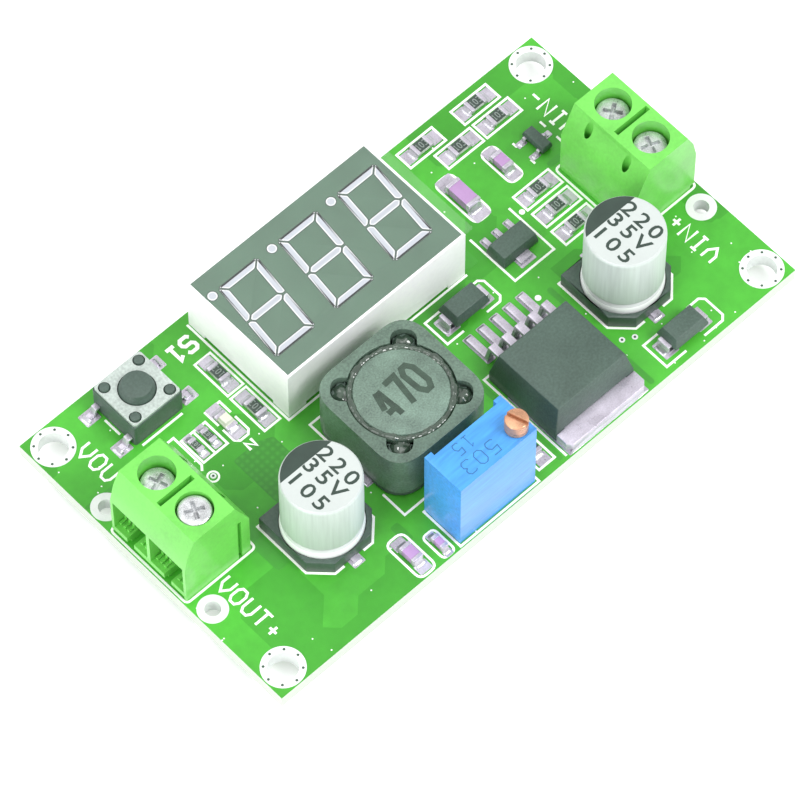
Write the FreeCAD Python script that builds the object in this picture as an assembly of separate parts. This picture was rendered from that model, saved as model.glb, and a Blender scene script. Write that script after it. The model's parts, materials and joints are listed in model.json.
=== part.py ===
"""A step-down (buck) converter module with a three-digit meter, on one circuit board.

The frame: X runs along the board from the output end to the input end, Y runs across it towards the
meter, Z points up. The origin is the middle of the board's underside, which is also the middle of its four
corner holes. The module stands on the trimmed tails of its through-board pins. All sizes are in millimetres.
A size that ends in _along, and the first number of a seat, is a place along X as a share of half the board's
length, so that the parts spread out or close up with the board.
"""
import FreeCAD, Part
import math
import os

# Board
board_length = 66.0
board_width = 36.0
board_thickness = 1.6
edge_margin = 0.1
corner_hole_d = 3.0
corner_land_d = 4.3
wire_hole_d = 1.6
wire_land_d = 2.8
wire_land_margin = 0.2
wire_hole_pitch = 14.6
connector_y = 0.35
tail_length = 1.5
solder_collar = 0.45
solder_height = 0.9
solder_tip = 0.12
fit_gap = 0.05

# How many sides stand in for a circle on pins, on small rounds and on wide ones
pin_sides = 6
small_sides = 12
wide_sides = 24
corner_steps = 5

# Bent leads: the share of the reach that lies before the first bend
lead_shoulder_share = 1 / 3

# Screw terminals: two poles each, wires go in over the board's end
pole_pitch = 5.08
pole_wall = 0.98
terminal_depth = 7.95
terminal_height = 9.75
terminal_end_gap = 0.4
front_wall_height = 5.7
front_break_height = 8.0
front_break_inset = 0.5
front_top_inset = 1.3
back_wall_height = 6.0
back_top_inset = 1.65
terminal_floor = 0.6
chamber_height = 5.1
chamber_depth = 5.5
screw_hole_d = 3.6
divider_slot_width = 0.55
divider_slot_depth = 1.3
divider_slot_length = 4.2
test_hole_d = 0.85
test_hole_depth = 5.0
test_hole_inset = 1.1
keyway_width = 0.35
keyway_depth = 0.3
keyway_height = 6.4
keyway_inset = 1.2
cage_wall = 0.5
cage_roof = 0.8
cage_floor = 0.6
cage_length = 3.5
cage_inset = 1.95
cage_pin_width = 1.0
cage_pin_thickness = 0.8
clamp_thickness = 0.4
clamp_lip = 0.35
clamp_length = 3.2
clamp_side_gap = 0.1
screw_thread_d = 2.4
screw_head_d = 3.3
screw_head_height = 1.2
screw_top_depth = 0.25
screw_cross_width = 0.55
screw_cross_length = 2.1
screw_cross_depth = 0.6
output_negative_lowered = 1.45
output_positive_lowered = 0.0
input_negative_lowered = 1.1
input_positive_lowered = 1.1

# Meter: a three-digit, seven-segment display and the chip under it
display_along = -0.0418
display_y = 10.0
display_length = 22.6
display_width = 13.9
display_height = 7.3
display_wall = 0.8
display_step = 0.6
display_front = 1.6
display_foot_length = 2.2
display_foot_height = 0.45
backplate_thickness = 1.0
backplate_recess = 1.6
digit_pitch = 7.5
digit_height = 9.2
digit_width = 4.95
digit_shift = -0.04
digit_slant = 6.5
segment_width = 0.78
segment_gap = 0.2
point_d = 0.95
point_offset_x = 2.85
point_offset_y = 4.32
film_thickness = 0.08
film_overhang = 1.0
film_tab_length = 1.4
film_tab_width = 1.5
display_pin_pitch = 2.54
display_pin_rows = 10.16
display_pin_width = 0.5
near_row_pins = 6
far_row_pins = 5
meter_chip_length = 5.0
meter_chip_width = 4.4
meter_chip_height = 0.95
meter_chip_standoff = 0.1
meter_chip_leads_per_side = 8
meter_chip_lead_pitch = 0.65
meter_chip_lead_width = 0.24
meter_chip_lead_thickness = 0.13
meter_chip_lead_reach = 1.0

# Power inductor, shielded
inductor_along = -0.1697
inductor_y = -4.75
inductor_side = 12.3
inductor_corner_r = 2.7
inductor_height = 6.5
inductor_base_thickness = 0.5
shield_bore_d = 10.4
shield_channel_width = 2.5
shield_channel_reach = 6.6
post_drop = 0.7
drum_d = 9.2
drum_core_d = 4.4
drum_flange = 1.2
drum_drop = 0.1
winding_inset = 0.3
coil_pad_width = 5.0
coil_pad_thickness = 0.2
coil_pad_reach = 0.55
coil_pad_under = 2.4

# Electrolytic capacitors
capacitor_d = 8.0
capacitor_height = 10.0
capacitor_output_along = -0.5576
capacitor_output_y = -7.7
capacitor_input_gap_share = 0.77
capacitor_input_y = -8.0
capacitor_base_side = 8.3
capacitor_base_chamfer = 1.9
capacitor_base_floor = 0.4
capacitor_base_wall = 1.5
capacitor_groove_low = 1.75
capacitor_groove_high = 2.45
capacitor_groove_depth = 0.3
capacitor_lead_width = 0.75
capacitor_lead_thickness = 0.2
capacitor_lead_reach = 0.6
capacitor_lead_inner = 1.2

# Regulator with a soldered tab and five leads
regulator_along = 0.263
regulator_y = -11.3
regulator_length = 10.1
regulator_width = 9.1
regulator_height = 4.4
regulator_top_length = 8.7
regulator_top_width = 8.0
regulator_waist = 1.5
regulator_tab_thickness = 1.27
regulator_tab_reach = 1.85
regulator_tab_inner_length = 8.0
regulator_tab_inner_width = 6.5
regulator_tab_notch = 0.5
regulator_lead_count = 5
regulator_lead_pitch = 1.7
regulator_lead_width = 0.85
regulator_lead_thickness = 0.45
regulator_lead_level = 2.6
regulator_lead_shoulder = 1.2
regulator_lead_foot = 4.4
regulator_lead_inner = 0.6

# Trimmer: a many-turn screw drives a small worm wheel
trimmer_along = -0.1661
trimmer_y = -15.35
trimmer_length = 9.53
trimmer_width = 4.4
trimmer_height = 10.0
trimmer_wall = 0.6
trimmer_roof = 0.8
trimmer_rib_width = 0.85
trimmer_rib_depth = 0.45
trimmer_seal_thickness = 0.8
trimmer_screw_d = 1.3
trimmer_screw_head_d = 2.27
trimmer_screw_head_height = 1.7
trimmer_screw_inset = 1.3
trimmer_screw_offset_y = -0.85
trimmer_slot_width = 0.4
trimmer_slot_depth = 0.5
trimmer_slot_turn = -72.0
trimmer_wheel_d = 4.6
trimmer_wheel_thickness = 2.2
trimmer_wheel_teeth = 32
trimmer_wheel_tooth = 0.22
trimmer_wheel_clearance = 0.65
trimmer_axle_d = 1.2
trimmer_element_thickness = 0.6
trimmer_element_height = 6.6
trimmer_pin_pitch = 2.54
trimmer_pin_d = 0.5

# Push button
switch_along = -0.6697
switch_y = 13.55
switch_side = 6.0
switch_base_height = 3.1
switch_cover_thickness = 0.3
switch_cover_margin = 0.1
switch_well_d = 4.8
switch_well_floor = 1.2
switch_button_d = 3.5
switch_button_gap = 0.1
switch_button_proud = 0.9
switch_flange_d = 4.4
switch_dome_d = 4.4
switch_dome_height = 0.45
switch_dome_thickness = 0.1
switch_dome_crown_share = 0.35
switch_rivet_d = 1.0
switch_rivet_offset = 2.15
switch_rivet_height = 0.2
switch_lead_offset = 2.25
switch_lead_width = 0.7
switch_lead_thickness = 0.25
switch_lead_reach = 1.4
switch_lead_level = 1.0

# Diodes with folded leads
diode_length = 4.3
diode_width = 2.6
diode_height = 2.2
diode_taper = 0.35
diode_waist = 1.15
diode_lead_width = 1.45
diode_lead_thickness = 0.2
diode_lead_reach = 0.45
diode_lead_under = 1.1
diode_standoff = 0.2
diode_seats = [(0.2152, 0.2), (0.6152, -15.65)]

# Small packages: the meter's regulator and a transistor
small_regulator_along = 0.4621
small_regulator_y = 2.15
small_regulator_length = 4.5
small_regulator_width = 2.5
small_regulator_height = 1.5
small_regulator_taper = 0.2
small_regulator_lead_pitch = 1.5
small_regulator_lead_width = 0.5
small_regulator_lead_thickness = 0.4
small_regulator_lead_reach = 1.1
small_regulator_tab_width = 1.6
small_regulator_tab_reach = 0.75
transistor_along = 0.7591
transistor_y = 8.95
transistor_length = 2.9
transistor_width = 1.3
transistor_height = 1.0
transistor_standoff = 0.05
transistor_taper = 0.12
transistor_lead_offset = 0.95
transistor_lead_width = 0.4
transistor_lead_thickness = 0.13
transistor_lead_reach = 0.55

# Chip parts: the seats give the place along the board, the place across it, and True where the chip lies
# across; the two resistors at the display's end keep their gap to it
chip_cap_length = 0.4
chip_cap_wrap = 0.03
large_resistor = (2.0, 1.25, 0.55)
small_resistor = (1.6, 0.8, 0.45)
large_resistor_seats = [
    (0.7191, 16.15, False), (0.7345, 13.6, False), (0.503, 16.15, False), (0.5818, 13.6, False),
    (0.65, 5.1, False), (0.65, 2.5, False), (0.65, -0.1, False), (0.0424, -14.65, True),
]
display_resistor_gap = 1.64
display_resistor_rows = [11.0, 5.9]
small_resistor_seats = [(-0.5909, 6.7, True), (-0.6379, 6.7, True)]
tall_capacitor = (3.2, 1.6, 1.2)
middle_capacitor = (2.0, 1.25, 0.9)
small_capacitor = (1.6, 0.8, 0.8)
tall_capacitor_seats = [(0.4727, 9.3, True)]
middle_capacitor_seats = [(0.6348, 9.55, True), (-0.4364, -15.35, True)]
small_capacitor_seats = [(-0.3545, -16.3, True)]
led_size = (2.0, 1.25, 0.4)
led_lens = (1.1, 1.1, 0.4)
led_lens_taper = 0.1
led_seats = [(-0.5227, 6.75, True)]

# Worked-out places
half_length = board_length / 2
half_width = board_width / 2
tail_end = -tail_length
corner_hole_x = half_length - corner_land_d / 2 - edge_margin
corner_hole_y = half_width - corner_land_d / 2 - edge_margin
wire_hole_x = half_length - wire_land_d / 2 - wire_land_margin
terminal_x = half_length - terminal_end_gap - terminal_depth / 2
terminal_back = terminal_x - terminal_depth / 2
display_x = display_along * half_length
inductor_x = inductor_along * half_length
regulator_x = regulator_along * half_length
regulator_side = regulator_x + regulator_length / 2
capacitor_room = terminal_back - regulator_side - capacitor_base_side
capacitor_output_x = capacitor_output_along * half_length
capacitor_input_x = regulator_side + capacitor_room * capacitor_input_gap_share + capacitor_base_side / 2
trimmer_x = trimmer_along * half_length
switch_x = switch_along * half_length
small_regulator_x = small_regulator_along * half_length
transistor_x = transistor_along * half_length
display_resistor_x = display_x - display_length / 2 - display_resistor_gap

nodes = {}
joints_below = []
board_holes = []


def vec(x, y, z):
    return FreeCAD.Vector(x, y, z)


def brick(x0, x1, y0, y1, z0, z1):
    """A box between two corners."""
    return Part.makeBox(x1 - x0, y1 - y0, z1 - z0, vec(x0, y0, z0))


def block(x, y, z0, length, width, height):
    """A box centred on x, y that stands on z0."""
    return brick(x - length / 2, x + length / 2, y - width / 2, y + width / 2, z0, z0 + height)


def rod(x, y, z0, z1, diameter):
    """An upright cylinder."""
    return Part.makeCylinder(diameter / 2, z1 - z0, vec(x, y, z0))


def sheet_face(points):
    """A flat face inside a closed run of 3-D points."""
    return Part.Face(Part.makePolygon(points + [points[0]]))


def circle_points(diameter, sides, x=0.0, y=0.0):
    """The corners of a regular outline that stands in for a circle, all of them on that circle."""
    turns = [2 * math.pi * i / sides for i in range(sides)]
    return [(x + diameter / 2 * math.cos(a), y + diameter / 2 * math.sin(a)) for a in turns]


def prism_along_z(points, z0, z1):
    """An outline of (x, y) points raised from z0 to z1."""
    return sheet_face([vec(x, y, z0) for x, y in points]).extrude(vec(0, 0, z1 - z0))


def prism_along_y(points, y0, y1):
    """A side profile of (x, z) points carried from y0 to y1."""
    return sheet_face([vec(x, y0, z) for x, z in points]).extrude(vec(0, y1 - y0, 0))


def prism_along_x(points, x0, x1):
    """A side profile of (y, z) points carried from x0 to x1."""
    return sheet_face([vec(x0, y, z) for y, z in points]).extrude(vec(x1 - x0, 0, 0))


def peg(x, y, z0, z1, diameter, sides=small_sides):
    """An upright many-sided pin, its corners on the circle."""
    return prism_along_z(circle_points(diameter, sides, x, y), z0, z1)


def socket(x, y, z0, z1, diameter, sides=small_sides):
    """The space of an upright many-sided hole, its flats on the circle."""
    return peg(x, y, z0, z1, diameter / math.cos(math.pi / sides), sides)


def turned(points):
    """A round solid: (radius, z) points turned about the Z axis."""
    return sheet_face([vec(r, 0, z) for r, z in points]).revolve(vec(0, 0, 0), vec(0, 0, 1), 360)


def lofted(low_points, z0, high_points, z1):
    """A solid with straight sides between two outlines of as many (x, y) points, one at z0, one at z1."""
    low = [vec(x, y, z0) for x, y in low_points]
    high = [vec(x, y, z1) for x, y in high_points]
    faces = [sheet_face(low), sheet_face(high)]
    for i in range(len(low)):
        before = i - 1
        faces.append(sheet_face([low[before], low[i], high[i], high[before]]))
    shell = Part.makeShell(faces)
    shell.sewShape()
    solid = Part.makeSolid(shell)
    if solid.Volume < 0:
        solid.reverse()
    return solid


def rectangle(length, width):
    """The corners of a rectangle about the origin."""
    a = length / 2
    b = width / 2
    return [(-a, -b), (a, -b), (a, b), (-a, b)]


def tapered(length, width, z0, top_length, top_width, z1):
    """A solid between a rectangle at z0 and another at z1, both on the Z axis."""
    return lofted(rectangle(length, width), z0, rectangle(top_length, top_width), z1)


def moulded(length, width, z0, band_low, band_high, z1, taper):
    """A moulded package: an upright band round its middle, sides that taper in below and above it."""
    top = (length - 2 * taper, width - 2 * taper)
    lower = tapered(*top, z0, length, width, band_low)
    upper = tapered(length, width, band_high, *top, z1)
    return lower.fuse(block(0, 0, band_low, length, width, band_high - band_low)).fuse(upper)


def rounded_square(side, radius):
    """The outline of a square with rounded corners, each corner a few short straight sides."""
    middle = side / 2 - radius
    points = []
    for corner in range(4):
        for step in range(corner_steps + 1):
            turn = math.pi / 2 * (corner + step / corner_steps)
            sx = math.copysign(middle, math.cos(math.pi / 2 * (corner + 1 / 2)))
            sy = math.copysign(middle, math.sin(math.pi / 2 * (corner + 1 / 2)))
            points.append((sx + radius * math.cos(turn), sy + radius * math.sin(turn)))
    return points


def placed(solid, x, y, z=0.0, turn=0.0):
    """A copy, turned about Z by so many degrees and then moved."""
    copy = solid.copy()
    copy.rotate(vec(0, 0, 0), vec(0, 0, 1), turn)
    copy.translate(vec(x, y, z))
    return copy


def strip_outline(path, thickness):
    """The outline of a bent strip: its centre line is a list of 2-D points, its bends are mitred."""
    left, right = [], []
    for i, point in enumerate(path):
        before = path[max(i - 1, 0)]
        after = path[min(i + 1, len(path) - 1)]
        incoming = (before, point) if i > 0 else (point, after)
        outgoing = (point, after) if i < len(path) - 1 else (before, point)
        first = math.atan2(incoming[1][1] - incoming[0][1], incoming[1][0] - incoming[0][0])
        second = math.atan2(outgoing[1][1] - outgoing[0][1], outgoing[1][0] - outgoing[0][0])
        half_turn = math.remainder(second - first, 2 * math.pi) / 2
        normal = first + half_turn + math.pi / 2
        reach = thickness / 2 / math.cos(half_turn)
        left.append((point[0] + reach * math.cos(normal), point[1] + reach * math.sin(normal)))
        right.append((point[0] - reach * math.cos(normal), point[1] - reach * math.sin(normal)))
    return left + right[::-1]


def gull_lead(inner, level, shoulder, foot_end, width, thickness, middle):
    """A flat lead along +Y: out of the body at a level, down, and out again along the board."""
    path = [(inner, level), (shoulder, level), (shoulder + thickness, thickness / 2),
            (foot_end, thickness / 2)]
    return prism_along_x(strip_outline(path, thickness), middle - width / 2, middle + width / 2)


def add(name, *solids):
    """Keeps the solids of one node."""
    nodes.setdefault(name, []).extend(solids)


def through_pin_seat(x, y, pin, pin_span):
    """A hole in the board, filled by a pin, and the solder joint round the pin's tail."""
    board_holes.append(pin)
    joint = lofted(circle_points(pin_span + 2 * solder_tip, pin_sides, x, y), -solder_height,
                   circle_points(pin_span + 2 * solder_collar, pin_sides, x, y), 0)
    joints_below.append(joint.cut(pin))


def terminal_housing():
    """The moulded two-pole block, front face towards -X, standing on z = 0."""
    front = -terminal_depth / 2
    back = terminal_depth / 2
    profile = [
        (front, 0), (back, 0), (back, back_wall_height), (back - back_top_inset, terminal_height),
        (front + front_top_inset, terminal_height), (front + front_break_inset, front_break_height),
        (front, front_wall_height),
    ]
    body = prism_along_y(profile, -pole_pitch, pole_pitch)
    middle = front + cage_inset + cage_length / 2
    window = pole_pitch - pole_wall
    cuts = []
    for y in (-pole_pitch / 2, pole_pitch / 2):
        cuts.append(brick(front, front + chamber_depth, y - window / 2, y + window / 2,
                          terminal_floor, terminal_floor + chamber_height))
        cuts.append(socket(middle, y, terminal_floor, terminal_height, screw_hole_d))
        cuts.append(block(middle, y, 0, cage_pin_thickness + 2 * fit_gap,
                          cage_pin_width + 2 * fit_gap, terminal_floor))
        cuts.append(socket(back - test_hole_inset, y, terminal_height - test_hole_depth,
                           terminal_height, test_hole_d, pin_sides))
    cuts.append(block(middle, 0, terminal_height - divider_slot_depth,
                      divider_slot_length, divider_slot_width, divider_slot_depth))
    cuts.append(block(back - keyway_inset, -pole_pitch + keyway_depth / 2, 0,
                      keyway_width, keyway_depth, keyway_height))
    return body.cut(Part.makeCompound(cuts)), middle


def terminal_cage():
    """The open metal frame of one pole with its pin, on the pole's own axis."""
    width = pole_pitch - pole_wall - 2 * fit_gap
    height = chamber_height - fit_gap
    frame = block(0, 0, terminal_floor, cage_length, width, height)
    inside = block(0, 0, terminal_floor + cage_floor, cage_length, width - 2 * cage_wall,
                   height - cage_floor - cage_roof)
    threaded = socket(0, 0, terminal_floor + cage_floor, terminal_floor + height,
                      screw_thread_d + 2 * fit_gap)
    pin = block(0, 0, tail_end - board_thickness, cage_pin_thickness, cage_pin_width,
                terminal_floor + board_thickness - tail_end)
    return frame.cut(inside).cut(threaded).fuse(pin).removeSplitter(), pin


def clamp_top():
    """The height of a clamp's upper face when its screw is all the way up."""
    return terminal_floor + chamber_height - fit_gap - cage_roof - fit_gap


def terminal_clamp():
    """The pressure plate under a screw, with its two turned-down lips, fully open."""
    width = pole_pitch - pole_wall - 2 * fit_gap - 2 * cage_wall - 2 * clamp_side_gap
    high = clamp_top()
    low = high - clamp_thickness
    half = clamp_length / 2
    profile = [
        (-half, low - clamp_lip), (-half + clamp_thickness, low - clamp_lip), (-half + clamp_thickness, low),
        (half - clamp_thickness, low), (half - clamp_thickness, low - clamp_lip), (half, low - clamp_lip),
        (half, high), (-half, high),
    ]
    return prism_along_y(profile, -width / 2, width / 2)


def terminal_screw():
    """The clamping screw with its cross recess, fully open."""
    head_top = terminal_height - screw_top_depth
    head_low = head_top - screw_head_height
    tip = clamp_top() + fit_gap
    screw = rod(0, 0, tip, head_low, screw_thread_d).fuse(peg(0, 0, head_low, head_top, screw_head_d))
    recess = head_top - screw_cross_depth
    cross = block(0, 0, recess, screw_cross_length, screw_cross_width, screw_cross_depth).fuse(
        block(0, 0, recess, screw_cross_width, screw_cross_length, screw_cross_depth))
    return screw.cut(cross)


def add_terminal(end, x, turn, poles):
    """One terminal with its cages, clamps and screws; poles gives (name, side, how far it is lowered)."""
    housing, middle = terminal_housing()
    add(end + "_terminal_housing", placed(housing, x, connector_y, board_thickness, turn))
    toward = math.cos(math.radians(turn))
    pole_x = x + toward * middle
    cage, pin = terminal_cage()
    for name, side, lowered in poles:
        y = connector_y + side * pole_pitch / 2
        add(end + "_" + name + "_cage", placed(cage, pole_x, y, board_thickness))
        add(end + "_" + name + "_clamp", placed(terminal_clamp(), pole_x, y, board_thickness - lowered))
        add(end + "_" + name + "_screw", placed(terminal_screw(), pole_x, y, board_thickness - lowered))
        pin_diagonal = math.hypot(cage_pin_width, cage_pin_thickness)
        through_pin_seat(pole_x, y, placed(pin, pole_x, y, board_thickness), pin_diagonal)


def sheared(point):
    """A point of an upright digit, leaned over by the slant."""
    x, y = point
    return (x + y * math.tan(math.radians(digit_slant)), y)


def digit_outlines():
    """The seven segments of one digit about its own middle, each as a list of (x, y) points."""
    w = segment_width
    side = digit_width / 2 - w / 2
    half = digit_height / 2 - w / 2
    mitre = w / 2
    gap = segment_gap / 2
    outlines = []
    for y in (-half, 0, half):
        low = -side + gap
        high = side - gap
        outlines.append([(low, y), (low + mitre, y - w / 2), (high - mitre, y - w / 2), (high, y),
                         (high - mitre, y + w / 2), (low + mitre, y + w / 2)])
    for x in (-side, side):
        for y0, y1 in ((-half, 0), (0, half)):
            low = y0 + gap
            high = y1 - gap
            outlines.append([(x, low), (x + w / 2, low + mitre), (x + w / 2, high - mitre), (x, high),
                             (x - w / 2, high - mitre), (x - w / 2, low + mitre)])
    return [[sheared(point) for point in outline] for outline in outlines]


def display_windows(z0, z1):
    """All segments and decimal points as solids between two heights, on the display's own axis."""
    solids = []
    for place in (-1, 0, 1):
        x = place * digit_pitch + digit_shift
        for outline in digit_outlines():
            solids.append(prism_along_z([(x + a, b) for a, b in outline], z0, z1))
        solids.append(peg(x - point_offset_x, point_offset_y, z0, z1, point_d, pin_sides))
    return solids


def add_display():
    """The display's shell, light guides, back plate, pins and protective film."""
    top = display_height
    ceiling = top - display_front
    outer = block(0, 0, 0, display_length, display_width, top)
    wall = display_wall
    deep = wall + display_step
    seat = backplate_recess + backplate_thickness
    well = block(0, 0, 0, display_length - 2 * deep, display_width - 2 * deep, ceiling)
    mouth = block(0, 0, 0, display_length - 2 * wall, display_width - 2 * wall, seat)
    under_x = block(0, 0, 0, display_length, display_width - 2 * display_foot_length, display_foot_height)
    under_y = block(0, 0, 0, display_length - 2 * display_foot_length, display_width, display_foot_height)
    guides = display_windows(ceiling, top)
    housing = outer.cut(Part.makeCompound([well, mouth])).cut(under_x).cut(under_y)
    housing = housing.cut(Part.makeCompound(guides))
    plate = block(0, 0, backplate_recess, display_length - 2 * wall - 2 * fit_gap,
                  display_width - 2 * wall - 2 * fit_gap, backplate_thickness)
    pins = []
    for count, y in ((near_row_pins, -display_pin_rows / 2), (far_row_pins, display_pin_rows / 2)):
        for i in range(count):
            x = (i - (count - 1) / 2) * display_pin_pitch
            low = tail_end - board_thickness
            pin = block(x, y, low, display_pin_width, display_pin_width, backplate_recess - low)
            pins.append(pin)
            place = placed(pin, display_x, display_y, board_thickness)
            through_pin_seat(display_x + x, display_y + y, place, display_pin_width * math.sqrt(2))
    left = -display_length / 2
    right = display_length / 2 + film_overhang
    near = -display_width / 2
    far = display_width / 2
    film = prism_along_z([
        (left, near), (right, near), (right, far), (left - film_tab_length, far),
        (left - film_tab_length, far - film_tab_width), (left, far - film_tab_width),
    ], top, top + film_thickness)
    seat_at = (display_x, display_y, board_thickness)
    add("display_housing", placed(housing, *seat_at))
    add("display_segments", *[placed(guide, *seat_at) for guide in guides])
    add("display_backplate", placed(plate, *seat_at))
    add("display_pins", *[placed(pin, *seat_at) for pin in pins])
    add("display_film", placed(film, *seat_at))


def add_meter_chip():
    """The flat chip in the space under the display, with flat leads along both long sides."""
    middle = meter_chip_width / 2 + meter_chip_lead_reach / 2
    leads = []
    for i in range(meter_chip_leads_per_side):
        x = (i - (meter_chip_leads_per_side - 1) / 2) * meter_chip_lead_pitch
        for y in (-middle, middle):
            leads.append(block(x, y, 0, meter_chip_lead_width, meter_chip_lead_reach,
                               meter_chip_lead_thickness))
    body = block(0, 0, meter_chip_standoff, meter_chip_length, meter_chip_width, meter_chip_height)
    add("meter_chip_body", placed(body, display_x, display_y, board_thickness))
    add("meter_chip_leads", *[placed(lead, display_x, display_y, board_thickness) for lead in leads])


def add_inductor():
    """Drum core with its winding, square shield with four corner channels, base with posts, two clips."""
    deck = coil_pad_thickness
    plate_top = deck + inductor_base_thickness
    top = inductor_height
    bore_r = shield_bore_d / 2
    outline = rounded_square(inductor_side, inductor_corner_r)
    ring = prism_along_z(outline, plate_top, top)
    bore = socket(0, 0, plate_top, top, shield_bore_d, wide_sides)
    plate = prism_along_z(outline, deck, plate_top)
    end_r = shield_channel_width / 2
    middle = shield_channel_reach - end_r
    channels, posts = [], []
    for corner in range(4):
        turn = 45 + 90 * corner
        channel = brick(0, middle, -end_r, end_r, plate_top, top).fuse(
            peg(middle, 0, plate_top, top, shield_channel_width))
        channels.append(placed(channel, 0, 0, 0, turn))
        slim = end_r - fit_gap
        post = brick(bore_r, middle, -slim, slim, plate_top, top - post_drop).fuse(
            peg(middle, 0, plate_top, top - post_drop, 2 * slim, pin_sides))
        post = post.cut(brick(0, bore_r, -end_r, end_r, plate_top, top))
        posts.append(placed(post.removeSplitter(), 0, 0, 0, turn))
    shield = ring.cut(bore).cut(Part.makeCompound(channels))
    base = plate.multiFuse(posts).removeSplitter()
    drum_top = top - drum_drop
    low_flange = plate_top + drum_flange
    high_flange = drum_top - drum_flange
    core = peg(0, 0, low_flange, high_flange, drum_core_d)
    drum = peg(0, 0, plate_top, low_flange, drum_d, wide_sides).fuse(core).fuse(
        peg(0, 0, high_flange, drum_top, drum_d, wide_sides))
    winding = peg(0, 0, low_flange, high_flange, drum_d - 2 * winding_inset).cut(core)
    clips = []
    edge = inductor_side / 2
    for side in (-1, 1):
        inner = side * (edge - coil_pad_under)
        outer = side * (edge + coil_pad_reach)
        clips.append(brick(min(inner, outer), max(inner, outer), -coil_pad_width / 2, coil_pad_width / 2,
                           0, coil_pad_thickness))
    at = (inductor_x, inductor_y, board_thickness)
    add("inductor_drum", placed(drum, *at))
    add("inductor_winding", placed(winding, *at))
    add("inductor_shield", placed(shield, *at))
    add("inductor_base", placed(base, *at))
    add("inductor_terminals", *[placed(clip, *at) for clip in clips])


def capacitor_can():
    """The rolled aluminium can, with the groove above its foot."""
    r = capacitor_d / 2
    low = capacitor_lead_thickness + capacitor_base_floor
    middle = (capacitor_groove_low + capacitor_groove_high) / 2
    top = capacitor_height
    return turned([
        (0, low), (r, low), (r, capacitor_groove_low), (r - capacitor_groove_depth, middle),
        (r, capacitor_groove_high), (r, top), (0, top),
    ])


def add_capacitor(name, x, y):
    """A can on its square base, the base's two cut corners towards -Y, leads towards -Y and +Y."""
    half = capacitor_base_side / 2
    cut = capacitor_base_chamfer
    low = capacitor_lead_thickness
    outline = [(-half, -half + cut), (-half + cut, -half), (half - cut, -half), (half, -half + cut),
               (half, half), (-half, half)]
    base = prism_along_z(outline, 0, low + capacitor_base_wall)
    seat = socket(0, 0, low + capacitor_base_floor, low + capacitor_base_wall,
                  capacitor_d + 2 * fit_gap, wide_sides)
    leads = []
    for side in (-1, 1):
        inner = side * capacitor_lead_inner
        outer = side * (half + capacitor_lead_reach)
        leads.append(brick(-capacitor_lead_width / 2, capacitor_lead_width / 2, min(inner, outer),
                           max(inner, outer), 0, capacitor_lead_thickness))
    base = base.cut(seat).cut(Part.makeCompound(leads))
    at = (x, y, board_thickness)
    add(name + "_can", placed(capacitor_can(), *at))
    add(name + "_base", placed(base, *at))
    add(name + "_leads", *[placed(lead, *at) for lead in leads])


def add_regulator():
    """The moulded body with drafted sides, its soldered tab towards -Y and five leads towards +Y."""
    half = regulator_width / 2
    waist = regulator_waist
    body = block(0, 0, fit_gap, regulator_length, regulator_width, waist - fit_gap).fuse(
        tapered(regulator_length, regulator_width, waist, regulator_top_length, regulator_top_width,
                regulator_height)).removeSplitter()
    tab_end = -half - regulator_tab_reach
    notch = regulator_tab_notch
    wide = regulator_length / 2
    slim = regulator_tab_inner_length / 2
    tab = prism_along_z([
        (-wide, -half), (-wide, tab_end + notch), (-wide + notch, tab_end), (wide - notch, tab_end),
        (wide, tab_end + notch), (wide, -half), (slim, -half), (slim, -half + regulator_tab_inner_width),
        (-slim, -half + regulator_tab_inner_width), (-slim, -half),
    ], 0, regulator_tab_thickness)
    leads = []
    foot_end = half + regulator_lead_foot
    for i in range(regulator_lead_count):
        x = (i - (regulator_lead_count - 1) / 2) * regulator_lead_pitch
        leads.append(gull_lead(half - regulator_lead_inner, regulator_lead_level,
                               half + regulator_lead_shoulder, foot_end,
                               regulator_lead_width, regulator_lead_thickness, x))
    body = body.cut(tab).cut(Part.makeCompound(leads))
    at = (regulator_x, regulator_y, board_thickness)
    add("regulator_body", placed(body, *at))
    add("regulator_tab", placed(tab, *at))
    add("regulator_leads", *[placed(lead, *at) for lead in leads])


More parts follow.
